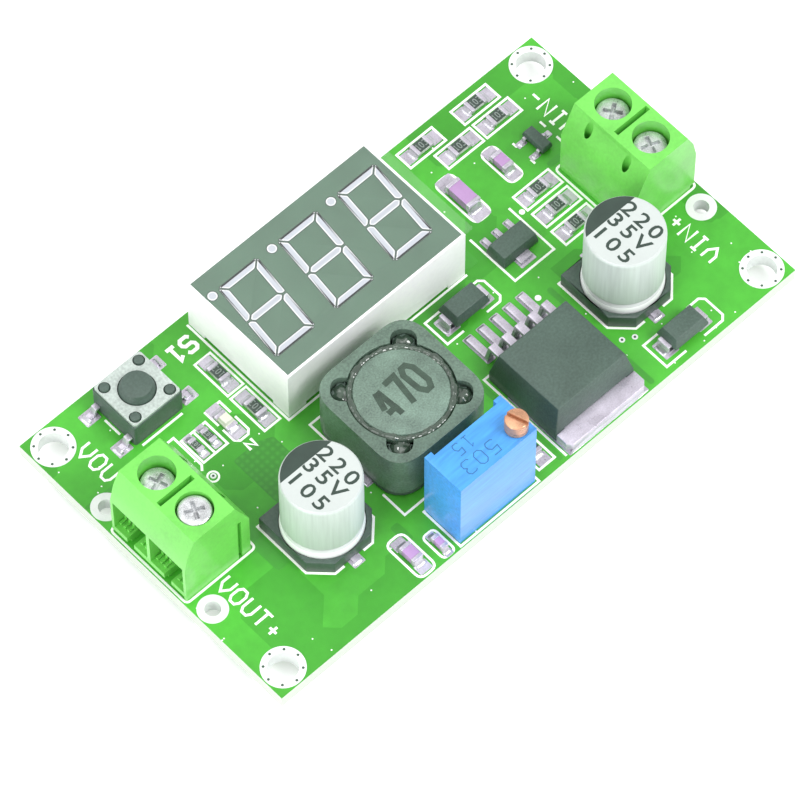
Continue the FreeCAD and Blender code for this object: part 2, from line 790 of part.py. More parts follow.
def add_trimmer():
    """The moulded case, its adjusting screw, the worm wheel on the element's axle, seal and pins."""
    half_x = trimmer_length / 2
    half_y = trimmer_width / 2
    top = trimmer_height
    seal_top = fit_gap + trimmer_seal_thickness
    case = block(0, 0, fit_gap, trimmer_length, trimmer_width, top - fit_gap)
    for side in (-1, 1):
        case = case.fuse(block(side * (half_x - trimmer_rib_width / 2), half_y + trimmer_rib_depth / 2,
                               fit_gap, trimmer_rib_width, trimmer_rib_depth, top - fit_gap))
    inside = block(0, 0, fit_gap, trimmer_length - 2 * trimmer_wall, trimmer_width - 2 * trimmer_wall,
                   top - trimmer_roof - fit_gap)
    screw_x = half_x - trimmer_screw_inset
    screw_y = trimmer_screw_offset_y
    bore = socket(screw_x, screw_y, top - trimmer_roof, top, trimmer_screw_d + 2 * fit_gap)
    case = case.removeSplitter().cut(inside).cut(bore)
    seal = block(0, 0, fit_gap, trimmer_length - 2 * trimmer_wall, trimmer_width - 2 * trimmer_wall,
                 trimmer_seal_thickness)
    head_low = top + fit_gap
    head_top = head_low + trimmer_screw_head_height
    screw = rod(0, 0, seal_top + fit_gap, head_low, trimmer_screw_d).fuse(
        peg(0, 0, head_low, head_top, trimmer_screw_head_d, wide_sides))
    slot = block(0, 0, head_top - trimmer_slot_depth, trimmer_screw_head_d, trimmer_slot_width,
                 trimmer_slot_depth)
    screw = placed(screw.cut(placed(slot, 0, 0, 0, trimmer_slot_turn)), screw_x, screw_y)
    wheel_r = trimmer_wheel_d / 2
    wheel_x = screw_x - trimmer_screw_d / 2 - fit_gap - wheel_r
    wheel_z = seal_top + trimmer_wheel_clearance + wheel_r
    element_y = half_y - trimmer_wall - trimmer_element_thickness
    wheel_y = element_y - fit_gap - trimmer_wheel_thickness
    teeth = []
    tips = circle_points(trimmer_wheel_d, 2 * trimmer_wheel_teeth)
    roots = circle_points(trimmer_wheel_d - 2 * trimmer_wheel_tooth, 2 * trimmer_wheel_teeth)
    for i in range(trimmer_wheel_teeth):
        for a, b in (tips[2 * i], roots[2 * i + 1]):
            teeth.append((wheel_x + a, wheel_z + b))
    wheel_end = wheel_y + trimmer_wheel_thickness
    hole_d = (trimmer_axle_d + 2 * fit_gap) / math.cos(math.pi / small_sides)
    axle_hole = circle_points(hole_d, small_sides, wheel_x, wheel_z)
    wheel = prism_along_y(teeth, wheel_y, wheel_end).cut(prism_along_y(axle_hole, wheel_y, wheel_end))
    plate_length = trimmer_length - 2 * trimmer_wall - 2 * fit_gap
    element = brick(-plate_length / 2, plate_length / 2, element_y, element_y + trimmer_element_thickness,
                    seal_top, seal_top + trimmer_element_height)
    axle = Part.makeCylinder(trimmer_axle_d / 2, element_y - wheel_y, vec(wheel_x, wheel_y, wheel_z),
                             vec(0, 1, 0))
    element = element.fuse(axle)
    pins = []
    for i in (-1, 0, 1):
        pin = peg(i * trimmer_pin_pitch, 0, tail_end - board_thickness, seal_top, trimmer_pin_d, pin_sides)
        pins.append(pin)
        place = placed(pin, trimmer_x, trimmer_y, board_thickness)
        through_pin_seat(trimmer_x + i * trimmer_pin_pitch, trimmer_y, place, trimmer_pin_d)
    seal = seal.cut(Part.makeCompound(pins))
    at = (trimmer_x, trimmer_y, board_thickness)
    add("trimmer_housing", placed(case, *at))
    add("trimmer_screw", placed(screw, *at))
    add("trimmer_wheel", placed(wheel, *at))
    add("trimmer_element", placed(element, *at))
    add("trimmer_seal", placed(seal, *at))
    add("trimmer_pins", *[placed(pin, *at) for pin in pins])


def add_switch():
    """The push button: moulded base, snap dome, button, riveted metal cover and four leads."""
    base_top = switch_base_height
    cover_top = base_top + switch_cover_thickness
    base = block(0, 0, fit_gap, switch_side, switch_side, base_top - fit_gap)
    well = socket(0, 0, switch_well_floor, base_top, switch_well_d)
    cover_side = switch_side - 2 * switch_cover_margin
    cover = block(0, 0, base_top, cover_side, cover_side, switch_cover_thickness)
    opening = socket(0, 0, base_top, cover_top, switch_button_d + 2 * switch_button_gap)
    rivets = []
    for sx in (-1, 1):
        for sy in (-1, 1):
            rivets.append(peg(sx * switch_rivet_offset, sy * switch_rivet_offset, base_top,
                              cover_top + switch_rivet_height, switch_rivet_d, pin_sides))
    cover = cover.cut(opening).cut(Part.makeCompound(rivets))
    base = base.cut(well).multiFuse(rivets)
    dome_top = switch_well_floor + switch_dome_height
    crown_d = switch_dome_d * switch_dome_crown_share
    t = switch_dome_thickness
    dome = lofted(circle_points(switch_dome_d, small_sides), switch_well_floor,
                  circle_points(crown_d, small_sides), dome_top)
    dome = dome.cut(lofted(circle_points(switch_dome_d - 2 * t, small_sides), switch_well_floor,
                           circle_points(crown_d - 2 * t, small_sides), dome_top - t))
    flange_top = base_top - fit_gap
    flange_low = dome_top + fit_gap
    button = peg(0, 0, flange_low, flange_top, switch_flange_d).fuse(
        peg(0, 0, flange_top, cover_top + switch_button_proud, switch_button_d))
    half = switch_side / 2
    leads = []
    for side in (-1, 1):
        for y in (-switch_lead_offset, switch_lead_offset):
            lead = gull_lead(half, switch_lead_level, half + switch_lead_reach * lead_shoulder_share,
                             half + switch_lead_reach, switch_lead_width, switch_lead_thickness, y)
            leads.append(placed(lead, 0, 0, 0, side * 90))
    at = (switch_x, switch_y, board_thickness)
    add("switch_base", placed(base, *at))
    add("switch_cover", placed(cover, *at))
    add("switch_dome", placed(dome, *at))
    add("switch_button", placed(button, *at))
    add("switch_leads", *[placed(lead, *at) for lead in leads])


def add_diodes():
    """Two moulded diodes with leads folded under their ends."""
    t = diode_lead_thickness
    body = moulded(diode_length, diode_width, diode_standoff, diode_waist - t / 2, diode_waist + t / 2,
                   diode_height, diode_taper)
    half = diode_length / 2
    outer = half + diode_lead_reach
    side = outer - t / 2
    path = [(half, diode_waist), (side, diode_waist), (side, t / 2), (outer - diode_lead_under, t / 2)]
    lead = prism_along_y(strip_outline(path, t), -diode_lead_width / 2, diode_lead_width / 2)
    leads = [lead, placed(lead, 0, 0, 0, 180)]
    for along, y in diode_seats:
        at = (along * half_length, y, board_thickness)
        add("diode_bodies", placed(body, *at))
        add("diode_leads", *[placed(one, *at) for one in leads])


def add_small_regulator():
    """The flat three-lead package of the meter's supply, with its tab towards -Y."""
    t = small_regulator_lead_thickness
    half = small_regulator_width / 2
    slim = 2 * small_regulator_taper
    body = block(0, 0, 0, small_regulator_length, small_regulator_width, t).fuse(
        tapered(small_regulator_length, small_regulator_width, t, small_regulator_length - slim,
                small_regulator_width - slim, small_regulator_height)).removeSplitter()
    at = (small_regulator_x, small_regulator_y, board_thickness)
    add("meter_regulator_body", placed(body, *at))
    reach = small_regulator_lead_reach
    for i in (-1, 0, 1):
        x = i * small_regulator_lead_pitch
        add("meter_regulator_leads", placed(block(x, half + reach / 2, 0, small_regulator_lead_width,
                                                  reach, t), *at))
    out = small_regulator_tab_reach
    add("meter_regulator_leads", placed(block(0, -half - out / 2, 0, small_regulator_tab_width, out, t), *at))


def add_transistor():
    """The small three-lead transistor: two leads towards -X, one towards +X."""
    low = transistor_standoff
    middle = low + transistor_height / 2
    t = transistor_lead_thickness
    body = moulded(transistor_width, transistor_length, low, middle - t / 2, middle + t / 2,
                   low + transistor_height, transistor_taper)
    half = transistor_width / 2
    reach = transistor_lead_reach
    lead = gull_lead(half, middle, half + reach * lead_shoulder_share, half + reach,
                     transistor_lead_width, t, 0)
    leads = [placed(lead, 0, -transistor_lead_offset, 0, 90), placed(lead, 0, transistor_lead_offset, 0, 90),
             placed(lead, 0, 0, 0, -90)]
    at = (transistor_x, transistor_y, board_thickness)
    add("transistor_body", placed(body, *at))
    add("transistor_leads", *[placed(one, *at) for one in leads])


def chip_at(size, x, y, across):
    """A chip's ceramic body and its two metal end caps."""
    length, width, height = size
    turn = 90 if across else 0
    body = block(0, 0, chip_cap_wrap, length - 2 * chip_cap_length, width - 2 * chip_cap_wrap,
                 height - 2 * chip_cap_wrap)
    caps = []
    for side in (-1, 1):
        cap = block(side * (length - chip_cap_length) / 2, 0, 0, chip_cap_length, width, height)
        caps.append(placed(cap, x, y, board_thickness, turn))
    return placed(body, x, y, board_thickness, turn), caps


def led_dome():
    """The clear dome of the status light."""
    length, width, height = led_lens
    low = led_size[2] - chip_cap_wrap
    return tapered(length, width, low, length - 2 * led_lens_taper, width - 2 * led_lens_taper,
                   led_size[2] + height)


def add_chips():
    """All chip resistors and chip capacitors, and the status light."""
    beside_display = [(display_resistor_x / half_length, y, True) for y in display_resistor_rows]
    groups = [
        ("chip_resistors", large_resistor, large_resistor_seats + beside_display),
        ("chip_resistors", small_resistor, small_resistor_seats),
        ("chip_capacitors", tall_capacitor, tall_capacitor_seats),
        ("chip_capacitors", middle_capacitor, middle_capacitor_seats),
        ("chip_capacitors", small_capacitor, small_capacitor_seats),
        ("status_led", led_size, led_seats),
    ]
    for name, size, seats in groups:
        for along, y, across in seats:
            x = along * half_length
            body, caps = chip_at(size, x, y, across)
            if name == "status_led":
                body = body.fuse(placed(led_dome(), x, y, board_thickness, 90)).removeSplitter()
            add(name, body)
            add("chip_end_caps", *caps)


def add_board():
    """The board with its holes, and the joints under the pins."""
    holes = list(board_holes)
    for x in (-corner_hole_x, corner_hole_x):
        for y in (-corner_hole_y, corner_hole_y):
            holes.append(rod(x, y, 0, board_thickness, corner_hole_d))
    for x in (-wire_hole_x, wire_hole_x):
        for y in (-wire_hole_pitch / 2, wire_hole_pitch / 2):
            holes.append(rod(x, connector_y + y, 0, board_thickness, wire_hole_d))
    board = block(0, 0, 0, board_length, board_width, board_thickness)
    add("circuit_board", board.cut(Part.makeCompound(holes)))
    add("pin_solder_joints", *joints_below)


def build():
    """Builds every part in its place and writes one file for each node."""
    add_terminal("output", -terminal_x, 0, (("negative", 1, output_negative_lowered),
                                            ("positive", -1, output_positive_lowered)))
    add_terminal("input", terminal_x, 180, (("negative", 1, input_negative_lowered),
                                            ("positive", -1, input_positive_lowered)))
    add_display()
    add_meter_chip()
    add_inductor()
    add_capacitor("output_capacitor", capacitor_output_x, capacitor_output_y)
    add_capacitor("input_capacitor", capacitor_input_x, capacitor_input_y)
    add_regulator()
    add_trimmer()
    add_switch()
    add_diodes()
    add_small_regulator()
    add_transistor()
    add_chips()
    add_board()
    os.makedirs("parts", exist_ok=True)
    for name, solids in nodes.items():
        shape = solids[0] if len(solids) == 1 else Part.makeCompound(solids)
        shape.exportStep("parts/" + name + ".step")


build()
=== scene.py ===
"""Dresses the buck converter module: every piece that shows gets its real edges, finish and print.

Pieces are drawn in millimetres in the module's own frame and scaled to metres when they become a mesh.
"""
import json
import math
import bmesh
import bpy
import numpy as np
from bpy.props import FloatProperty, FloatVectorProperty, IntProperty, PointerProperty
from mathutils import Matrix, Vector

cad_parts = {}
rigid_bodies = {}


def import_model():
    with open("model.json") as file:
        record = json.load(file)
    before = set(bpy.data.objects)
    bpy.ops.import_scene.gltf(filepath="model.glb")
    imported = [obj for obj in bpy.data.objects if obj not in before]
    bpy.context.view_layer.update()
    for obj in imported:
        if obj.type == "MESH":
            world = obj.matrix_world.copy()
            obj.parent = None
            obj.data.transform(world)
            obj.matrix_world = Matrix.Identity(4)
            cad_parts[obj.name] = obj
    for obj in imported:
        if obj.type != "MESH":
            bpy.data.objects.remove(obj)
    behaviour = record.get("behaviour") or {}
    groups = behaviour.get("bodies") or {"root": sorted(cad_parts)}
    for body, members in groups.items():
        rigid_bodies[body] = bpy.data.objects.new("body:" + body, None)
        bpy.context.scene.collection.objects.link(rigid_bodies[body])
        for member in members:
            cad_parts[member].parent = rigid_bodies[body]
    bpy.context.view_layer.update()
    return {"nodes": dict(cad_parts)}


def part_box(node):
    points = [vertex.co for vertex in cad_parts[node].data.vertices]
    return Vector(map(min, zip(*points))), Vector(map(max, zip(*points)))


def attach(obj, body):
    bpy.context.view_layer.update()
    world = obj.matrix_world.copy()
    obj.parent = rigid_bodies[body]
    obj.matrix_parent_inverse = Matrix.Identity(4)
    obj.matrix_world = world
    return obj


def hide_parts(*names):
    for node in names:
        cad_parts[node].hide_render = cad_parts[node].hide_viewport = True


bl_info = {
    "name": "Buck converter module",
    "version": (1, 0, 0),
    "blender": (4, 5, 0),
    "location": "3D View > Sidebar > Module",
    "description": "Builds the finished look of a step-down converter module with a three-digit meter",
    "category": "Object",
}

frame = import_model()
mm = 0.001
sides = (-1, 1)
corners = [(a, b) for a in sides for b in sides]

# Places on the board, in millimetres

board_top = 1.6
corner_holes = [(30.75 * a, 15.75 * b) for a, b in corners]
wire_holes = [(x, y) for x in (-31.4, 31.4) for y in (-6.95, 7.65)]
capacitor_seats = {"output_capacitor": (-18.4008, -7.7), "input_capacitor": (19.8976, -8.0)}
capacitor_places = [(-18.4, -7.7), (19.897, -8.0)]  # of their pads and their printed outlines
diode_seats = [(7.1, 0.2), (20.3, -15.65)]
inductor_seat = (-5.6001, -4.75)
switch_seat = (-22.1001, 13.55)
regulator_x = 8.679
meter_regulator_x = 15.249
transistor_seat = (25.05, 8.95)
trimmer_screw_seat = (-2.0163, -16.2)
display_x = -1.3794

# Chip parts: middle x, y, length, width, height, lies across the board

resistor = (2.0, 1.25, 0.55)
chip_seats = [
    (23.73, 16.15, *resistor, False), (24.24, 13.6, *resistor, False), (16.6, 16.15, *resistor, False),
    (19.2, 13.6, *resistor, False), (21.45, 5.1, *resistor, False), (21.45, 2.5, *resistor, False),
    (21.45, -0.1, *resistor, False), (1.4, -14.65, *resistor, True), (-14.32, 11.0, *resistor, True),
    (-14.32, 5.9, *resistor, True), (-19.5, 6.7, 1.6, 0.8, 0.45, True), (-21.05, 6.7, 1.6, 0.8, 0.45, True),
    (15.6, 9.3, 3.2, 1.6, 1.2, True), (20.95, 9.55, 2.0, 1.25, 0.9, True),
    (-14.4, -15.35, 2.0, 1.25, 0.9, True), (-11.7, -16.3, 1.6, 0.8, 0.8, True),
    (-17.25, 6.75, 2.0, 1.25, 0.4, True),
]
status_light = (-17.25, 6.75)


def tone(red, green, blue):
    """A colour given in screen values of 0 to 255, as the linear values that shaders take."""
    screen = np.array([red, green, blue]) / 255
    linear = np.where(screen <= 0.04045, screen / 12.92, ((screen + 0.055) / 1.055) ** 2.4)
    return tuple(linear.tolist())


def colour_setting(name, description, default):
    return FloatVectorProperty(name=name, description=description, default=default, subtype="COLOR",
                               size=3, min=0.0, max=1.0)


def length_setting(name, description, default):
    return FloatProperty(name=name, description=description, default=default * mm, unit="LENGTH", min=0.0)


class ModuleColours(bpy.types.PropertyGroup):
    mask: colour_setting("Solder mask", "Green lacquer over bare board", tone(48, 132, 33))
    mask_copper: colour_setting("Mask over copper", "Green lacquer over a copper area", tone(72, 169, 50))
    board_edge: colour_setting("Board edge", "Sawn glass fibre at the board's edges", tone(210, 219, 205))
    print_white: colour_setting("White print", "Lines and letters printed on the board", tone(252, 253, 250))
    tin: colour_setting("Tin", "Tinned leads and pads", tone(194, 188, 201))
    solder: colour_setting("Solder", "Solder fillets and joints", tone(194, 192, 201))
    terminal: colour_setting("Terminal", "Moulded screw terminals", tone(110, 203, 83))
    plated: colour_setting("Plated steel", "Cages, clamps and clamping screws", tone(201, 203, 205))
    brass: colour_setting("Brass", "The trimmer's adjusting screw", tone(205, 154, 121))
    resin: colour_setting("Moulded resin", "Black bodies of chips and diodes", tone(70, 89, 80))
    ferrite: colour_setting("Ferrite", "The inductor's shield", tone(92, 114, 100))
    display_shell: colour_setting("Display shell", "Sides of the display", tone(254, 253, 255))
    display_face: colour_setting("Display face", "Printed face round the digits", tone(71, 103, 82))
    can: colour_setting("Capacitor can", "Rolled aluminium", tone(200, 211, 205))
    base: colour_setting("Black base", "Moulded bases of capacitors and button", tone(70, 87, 79))
    trimmer: colour_setting("Trimmer case", "Blue moulded case", tone(68, 149, 225))
    ceramic: colour_setting("Chip capacitor", "Fired ceramic of the chip capacitors", tone(181, 143, 192))
    copper_wire: colour_setting("Wire", "Enamelled copper wire", tone(168, 101, 55))


class ModuleSizes(bpy.types.PropertyGroup):
    print_line: length_setting("Printed line", "Width of the lines printed on the board", 0.24)
    print_height: length_setting("Print height", "Thickness of the printed ink", 0.02)
    pad_height: length_setting("Pad height", "Thickness of a tinned copper pad", 0.05)
    edge: length_setting("Edge", "Rounding of the terminals' moulded edges", 0.15)
    fine_edge: length_setting("Fine edge", "Rounding of stamped and tinned edges", 0.04)
    letter_height: length_setting("Letters", "Height of the letters on the board", 1.7)
    thread_pitch: length_setting("Thread pitch", "Pitch of the clamping screws", 0.45)
    round_steps: IntProperty(name="Steps of a circle", description="Sides of a full turn on round pieces",
                             default=64, min=16, max=128)
    lens: FloatProperty(name="Lens", description="Focal length of the camera", default=0.264978,
                        unit="LENGTH", min=0.05)


# Shapes: a shape is (points, faces), points in millimetres

def rectangle(length, width, x=0.0, y=0.0):
    return np.array([(-1, -1), (1, -1), (1, 1), (-1, 1)]) * [length / 2, width / 2] + [x, y]


def circle(radius, steps, x=0.0, y=0.0):
    """Points at x + r cos t, y + r sin t for equal steps of t."""
    t = np.arange(steps) * 2 * np.pi / steps
    return np.stack([x + radius * np.cos(t), y + radius * np.sin(t)], axis=1)


def eased(outline, radius, steps=4):
    """A closed outline with each corner P replaced by the curve (1-t)^2 A + 2t(1-t) P + t^2 B, where A and
    B lie on the two sides, a radius from P."""
    outline = np.array(outline, float)
    before = np.roll(outline, 1, axis=0) - outline
    after = np.roll(outline, -1, axis=0) - outline
    long_before = np.linalg.norm(before, axis=1, keepdims=True)
    long_after = np.linalg.norm(after, axis=1, keepdims=True)
    reach = np.minimum(radius, np.minimum(long_before, long_after) * 0.499)
    a = outline + before / long_before * reach
    b = outline + after / long_after * reach
    t = np.linspace(0, 1, steps + 1)[None, :, None]
    curve = (1 - t) ** 2 * a[:, None] + 2 * t * (1 - t) * outline[:, None] + t ** 2 * b[:, None]
    return curve.reshape(-1, 2)


def left_of(ahead):
    """The unit normal to the left of each direction."""
    ahead = ahead / np.linalg.norm(ahead, axis=1, keepdims=True)
    return np.stack([-ahead[:, 1], ahead[:, 0]], axis=1)


def corner_shift(first, second, least=1e-9):
    """How far a corner moves when its two sides move by 1: (n1 + n2) / (1 + n1.n2), n1 and n2 being their
    normals. A larger least holds back sharp corners."""
    return (first + second) / np.maximum(1 + (first * second).sum(axis=1, keepdims=True), least)


def inset_outline(outline, inset):
    """An anticlockwise outline with all its sides moved inwards."""
    normals = left_of(np.roll(outline, -1, axis=0) - outline)
    return outline + inset * corner_shift(np.roll(normals, 1, axis=0), normals)


def skinned(rows, ring=False):
    """A skin over a grid: point (i, j) joins (i+1, j) and (i, j+1), and the last column joins the first. The
    end rows are filled, or on a ring the last row joins the first."""
    count, width = rows.shape[:2]
    index = np.arange(count * width).reshape(count, width)
    here = index if ring else index[:-1]
    there = np.roll(index, -1, axis=0) if ring else index[1:]
    faces = np.stack([here, np.roll(here, -1, axis=1), np.roll(there, -1, axis=1), there], axis=-1)
    faces = faces.reshape(-1, 4).tolist()
    if not ring:
        faces += [index[0, ::-1].tolist(), index[-1].tolist()]
    return rows.reshape(-1, 3), faces


def stacked(levels, ring=False):
    """A skin over outlines, each carried to its height: levels are (outline, z)."""
    return skinned(np.array([np.column_stack([line, np.full(len(line), z)]) for line, z in levels]), ring)


def raised(outline, profile):
    """An outline carried up a profile of (inset, z): row i is the outline moved in by its inset, at its z."""
    return stacked([(inset_outline(outline, inset), z) for inset, z in profile])


def slab(outline, z0, z1, edge=0.0):
    """A plate between two heights, its upper edge cut by a small bevel."""
    return raised(outline, [(0, z0), (0, z1 - edge), (edge, z1)] if edge else [(0, z0), (0, z1)])


def brick(x0, x1, y0, y1, z0, z1):
    return slab(rectangle(x1 - x0, y1 - y0, (x0 + x1) / 2, (y0 + y1) / 2), z0, z1)


def wrapped(r, t, z, ring=False):
    """A skin over rows about Z: x = r cos t, y = r sin t."""
    return skinned(np.stack([r * np.cos(t), r * np.sin(t), z + 0 * t], axis=-1), ring)


def turned(profile, steps=64, ring=False):
    """A profile of (r, z) turned about Z."""
    r, z = np.array(profile, float).T
    return wrapped(r[:, None], np.arange(steps) * 2 * np.pi / steps, z[:, None], ring)


def disc(radius, z0, z1, steps):
    return turned([(0, z0), (radius, z0), (radius, z1), (0, z1)], steps)


def washer(bore, radius, z0, z1, steps):
    return turned([(bore, z0), (radius, z0), (radius, z1), (bore, z1)], steps, True)


def threaded(radius, depth, pitch, z0, z1):
    """A shank whose radius follows the thread, r = R - d |2p - 1|, p being the fraction of a turn of
    z / pitch - t / 2 pi."""
    z = np.arange(z0, z1, pitch / 8)[:, None]
    t = (np.arange(32) * 2 * np.pi / 32)[None, :]
    return wrapped(radius - depth * np.abs(2 * np.mod(z / pitch - t / (2 * np.pi), 1) - 1), t, z)


def band(outline, width, z0, z1):
    """A printed line along a closed outline: a flat ring between the outline moved out and moved in by half
    the width."""
    outer, inner = inset_outline(outline, -width / 2), inset_outline(outline, width / 2)
    return stacked([(outer, z0), (outer, z1), (inner, z1), (inner, z0)], ring=True)


def stroke(points, width, z0, z1):
    """A printed line along an open run of points: each corner is set off to both sides by half the width
    along the bisector of its two sides, less at a sharp corner."""
    run = np.array(points, float)
    normals = left_of(np.diff(run, axis=0))
    shift = corner_shift(np.vstack([normals[:1], normals]), np.vstack([normals, normals[-1:]]), 0.5)
    return slab(np.vstack([run - shift * width / 2, (run + shift * width / 2)[::-1]]), z0, z1)


def moved(shape, x=0.0, y=0.0, z=0.0, turn=0.0):
    """The shape turned about Z by so many degrees and then moved."""
    a = math.radians(turn)
    spin = np.array([[math.cos(a), -math.sin(a), 0], [math.sin(a), math.cos(a), 0], [0, 0, 1]])
    return shape[0] @ spin.T + [x, y, z], shape[1]


def joined(shapes):
    """All the shapes as one, the faces of each counted on from the points before it."""
    points, faces, start = [], [], 0
    for part, part_faces in shapes:
        points.append(part)
        faces += [[start + i for i in face] for face in part_faces]
        start += len(part)
    return np.vstack(points), faces


# Meshes and objects

merge_reach = 0.0005


def mesh_of(name, shape, scale=1.0):
    """A mesh of the shape with its doubled points merged and its faces turned outwards."""
    mesh = bpy.data.meshes.new(name)
    mesh.from_pydata((shape[0] * scale).tolist(), [], shape[1])
    work = bmesh.new()
    work.from_mesh(mesh)
    bmesh.ops.remove_doubles(work, verts=work.verts, dist=merge_reach * scale)
    bmesh.ops.recalc_face_normals(work, faces=work.faces)
    work.to_mesh(mesh)
    work.free()
    return mesh


def linked(name, data):
    item = bpy.data.objects.new(name, data)
    bpy.context.scene.collection.objects.link(item)
    return item


def evaluated(item):
    """The shape that an object's modifiers or letters give."""
    bpy.context.view_layer.update()
    mesh = bpy.data.meshes.new_from_object(item.evaluated_get(bpy.context.evaluated_depsgraph_get()))
    points = np.empty(len(mesh.vertices) * 3)
    mesh.vertices.foreach_get("co", points)
    shape = points.reshape(-1, 3), [list(face.vertices) for face in mesh.polygons]
    bpy.data.meshes.remove(mesh)
    return shape


def carved(shape, cutters):
    """The shape with the cutters taken away from it, one after another."""
    body = linked("carving", mesh_of("carving", shape))
    tools = [linked("cutter", mesh_of("cutter", cutter)) for cutter in cutters]
    for tool in tools:
        cut = body.modifiers.new("cut", "BOOLEAN")
        cut.operation = "DIFFERENCE"
        cut.solver = "EXACT"
        cut.object = tool
    result = evaluated(body)
    bpy.data.batch_remove([data for item in (body, *tools) for data in (item, item.data)])
    return result


def letters(text, height, bold, wide, thick):
    """Flat letters about the origin: height is that of a capital, bold widens every stroke by that much, wide
    stretches the letters along their line."""
    curve = bpy.data.curves.new("letters", "FONT")
    curve.body = text
    curve.align_x = "CENTER"
    curve.align_y = "CENTER"
    curve.size = height / 0.7
    curve.extrude = thick / 2
    curve.offset = bold
    curve.resolution_u = 3
    item = linked("letters", curve)
    points, faces = evaluated(item)
    bpy.data.batch_remove([item, curve])
    return points * [wide, 1, 1], faces


# Letters drawn with single lines, in a square of 1: a run that ends where it starts is a closed ring

glyphs = {
    "0": [[(0, 0.2), (0.3, 0), (0.7, 0), (1, 0.2), (1, 0.8), (0.7, 1), (0.3, 1), (0, 0.8), (0, 0.2)]],
    "1": [[(0.15, 0.8), (0.55, 1), (0.55, 0)], [(0.15, 0), (0.95, 0)]],
    "3": [[(0, 0.9), (0.2, 1), (0.8, 1), (1, 0.85), (1, 0.65), (0.75, 0.53), (1, 0.4), (1, 0.15), (0.8, 0),
           (0.2, 0), (0, 0.1)]],
    "4": [[(0.75, 0), (0.75, 1)], [(0.6, 1), (0.05, 0.42)], [(0, 0.28), (1, 0.28)]],
    "5": [[(0.95, 1), (0.1, 1), (0, 0.55), (0.7, 0.6), (1, 0.4), (1, 0.15), (0.8, 0), (0.2, 0), (0, 0.1)]],
    "7": [[(0, 1), (1, 1), (0.45, 0)]],
    "I": [[(0.5, 0), (0.5, 1)], [(0.2, 0), (0.8, 0)], [(0.2, 1), (0.8, 1)]],
    "N": [[(0, 0), (0, 1), (1, 0), (1, 1)]],
    "O": [[(0, 0.25), (0.25, 0), (0.75, 0), (1, 0.25), (1, 0.75), (0.75, 1), (0.25, 1), (0, 0.75), (0, 0.25)]],
    "S": [[(0, 0.15), (0.2, 0), (0.8, 0), (1, 0.15), (1, 0.35), (0.8, 0.5), (0.2, 0.5), (0, 0.65), (0, 0.85),
           (0.2, 1), (0.8, 1), (1, 0.85)]],
    "T": [[(0, 1), (1, 1)], [(0.5, 1), (0.5, 0)]],
    "U": [[(0, 1), (0, 0.25), (0.25, 0), (0.75, 0), (1, 0.25), (1, 1)]],
    "V": [[(0, 1), (0, 0.45), (0.5, 0), (1, 0.45), (1, 1)]],
    "+": [[(0.1, 0.45), (0.9, 0.45)], [(0.5, 0.15), (0.5, 0.75)]],
    "-": [[(0.1, 0.45), (0.9, 0.45)]],
}


def lettering(text, tall, wide, pitch, width, x, y, z0, z1, turn=0.0):
    """Letters of one line width, centred on x, y: tall and wide are a letter's size, pitch its step. Lines
    that cross in a letter lie a little apart in height."""
    shapes = []
    for place, letter in enumerate(text):
        shift = (place - (len(text) - 1) / 2) * pitch - wide / 2
        for level, line in enumerate(glyphs[letter]):
            run = np.array(line) * [wide, tall] + [shift, -tall / 2]
            closed = line[0] == line[-1]
            draw = band if closed else stroke
            shapes.append(draw(run[:-1] if closed else run, width, z0 - 0.002 * level, z1 + 0.002 * level))
    return moved(joined(shapes), x, y, turn=turn)


# Pieces

materials = {}
groups = {}
crease = 35.0
slot_of = {"board_gap": "board", "board_quilt": "board", "white_print": "board", "via": "board",
           "land": "tinned_lead", "tin": "tinned_lead", "disc": "ferrite", "glue": "ferrite",
           "stamp": "ferrite", "wire": "copper_wire", "can": "aluminium_can", "black_print": "aluminium_can",
           "blue_mark": "trimmer_blue", "grey_print": "black_resin", "resistor": "black_resin",
           "chip_ceramic": "capacitor_ceramic", "light_lens": "led_lens", "cover_steel": "spring_steel"}


def declared(item, finish, body, replaced, slot=None):
    """Rides the item on its body and hides the nodes that it stands for."""
    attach(item, body)
    slot or slot_of.get(finish, finish)
    if replaced:
        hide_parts(*replaced)


def set_edges(item, edge, segments=2):
    """Rounds every sharp edge and keeps the flat faces flat."""
    rounding = item.modifiers.new("edges", "BEVEL")
    rounding.width = edge * mm
    rounding.segments = segments
    rounding.limit_method = "ANGLE"
    rounding.angle_limit = math.radians(30)
    rounding.harden_normals = True


def piece(name, shapes, finish, replaced=(), body="module", edge=0.0, slot=None):
    """One finished piece: joins its shapes, gives it its material and rides it on its body."""
    mesh = mesh_of(name, joined(shapes) if isinstance(shapes, list) else shapes, mm)
    mesh.polygons.foreach_set("use_smooth", [True] * len(mesh.polygons))
    item = linked(name, mesh)
    if edge:
        set_edges(item, edge)
    else:
        mesh.set_sharp_from_angle(angle=math.radians(crease))
    mesh.materials.append(materials[finish])
    declared(item, finish, body, replaced, slot)


def refined(node, finish, edge, body="module", segments=2):
    """A copy of a node's solids, merged into whole faces and with rounded edges, in its place."""
    mesh = frame["nodes"][node].data.copy()
    mesh.materials.clear()
    mesh.materials.append(materials[finish])
    work = bmesh.new()
    work.from_mesh(mesh)
    bmesh.ops.remove_doubles(work, verts=work.verts, dist=merge_reach * mm)
    bmesh.ops.dissolve_limit(work, angle_limit=math.radians(1), verts=work.verts, edges=work.edges)
    for face in work.faces:
        face.smooth = True
        face.material_index = 0
    work.to_mesh(mesh)
    work.free()
    item = linked("finished_" + node, mesh)
    set_edges(item, edge, segments)
    declared(item, finish, body, (node,))


def repaint(node, finish):
    """Gives a node that stays as it is its material."""
    item = frame["nodes"][node]
    item.data.materials.clear()
    item.data.materials.append(materials[finish])


# Materials

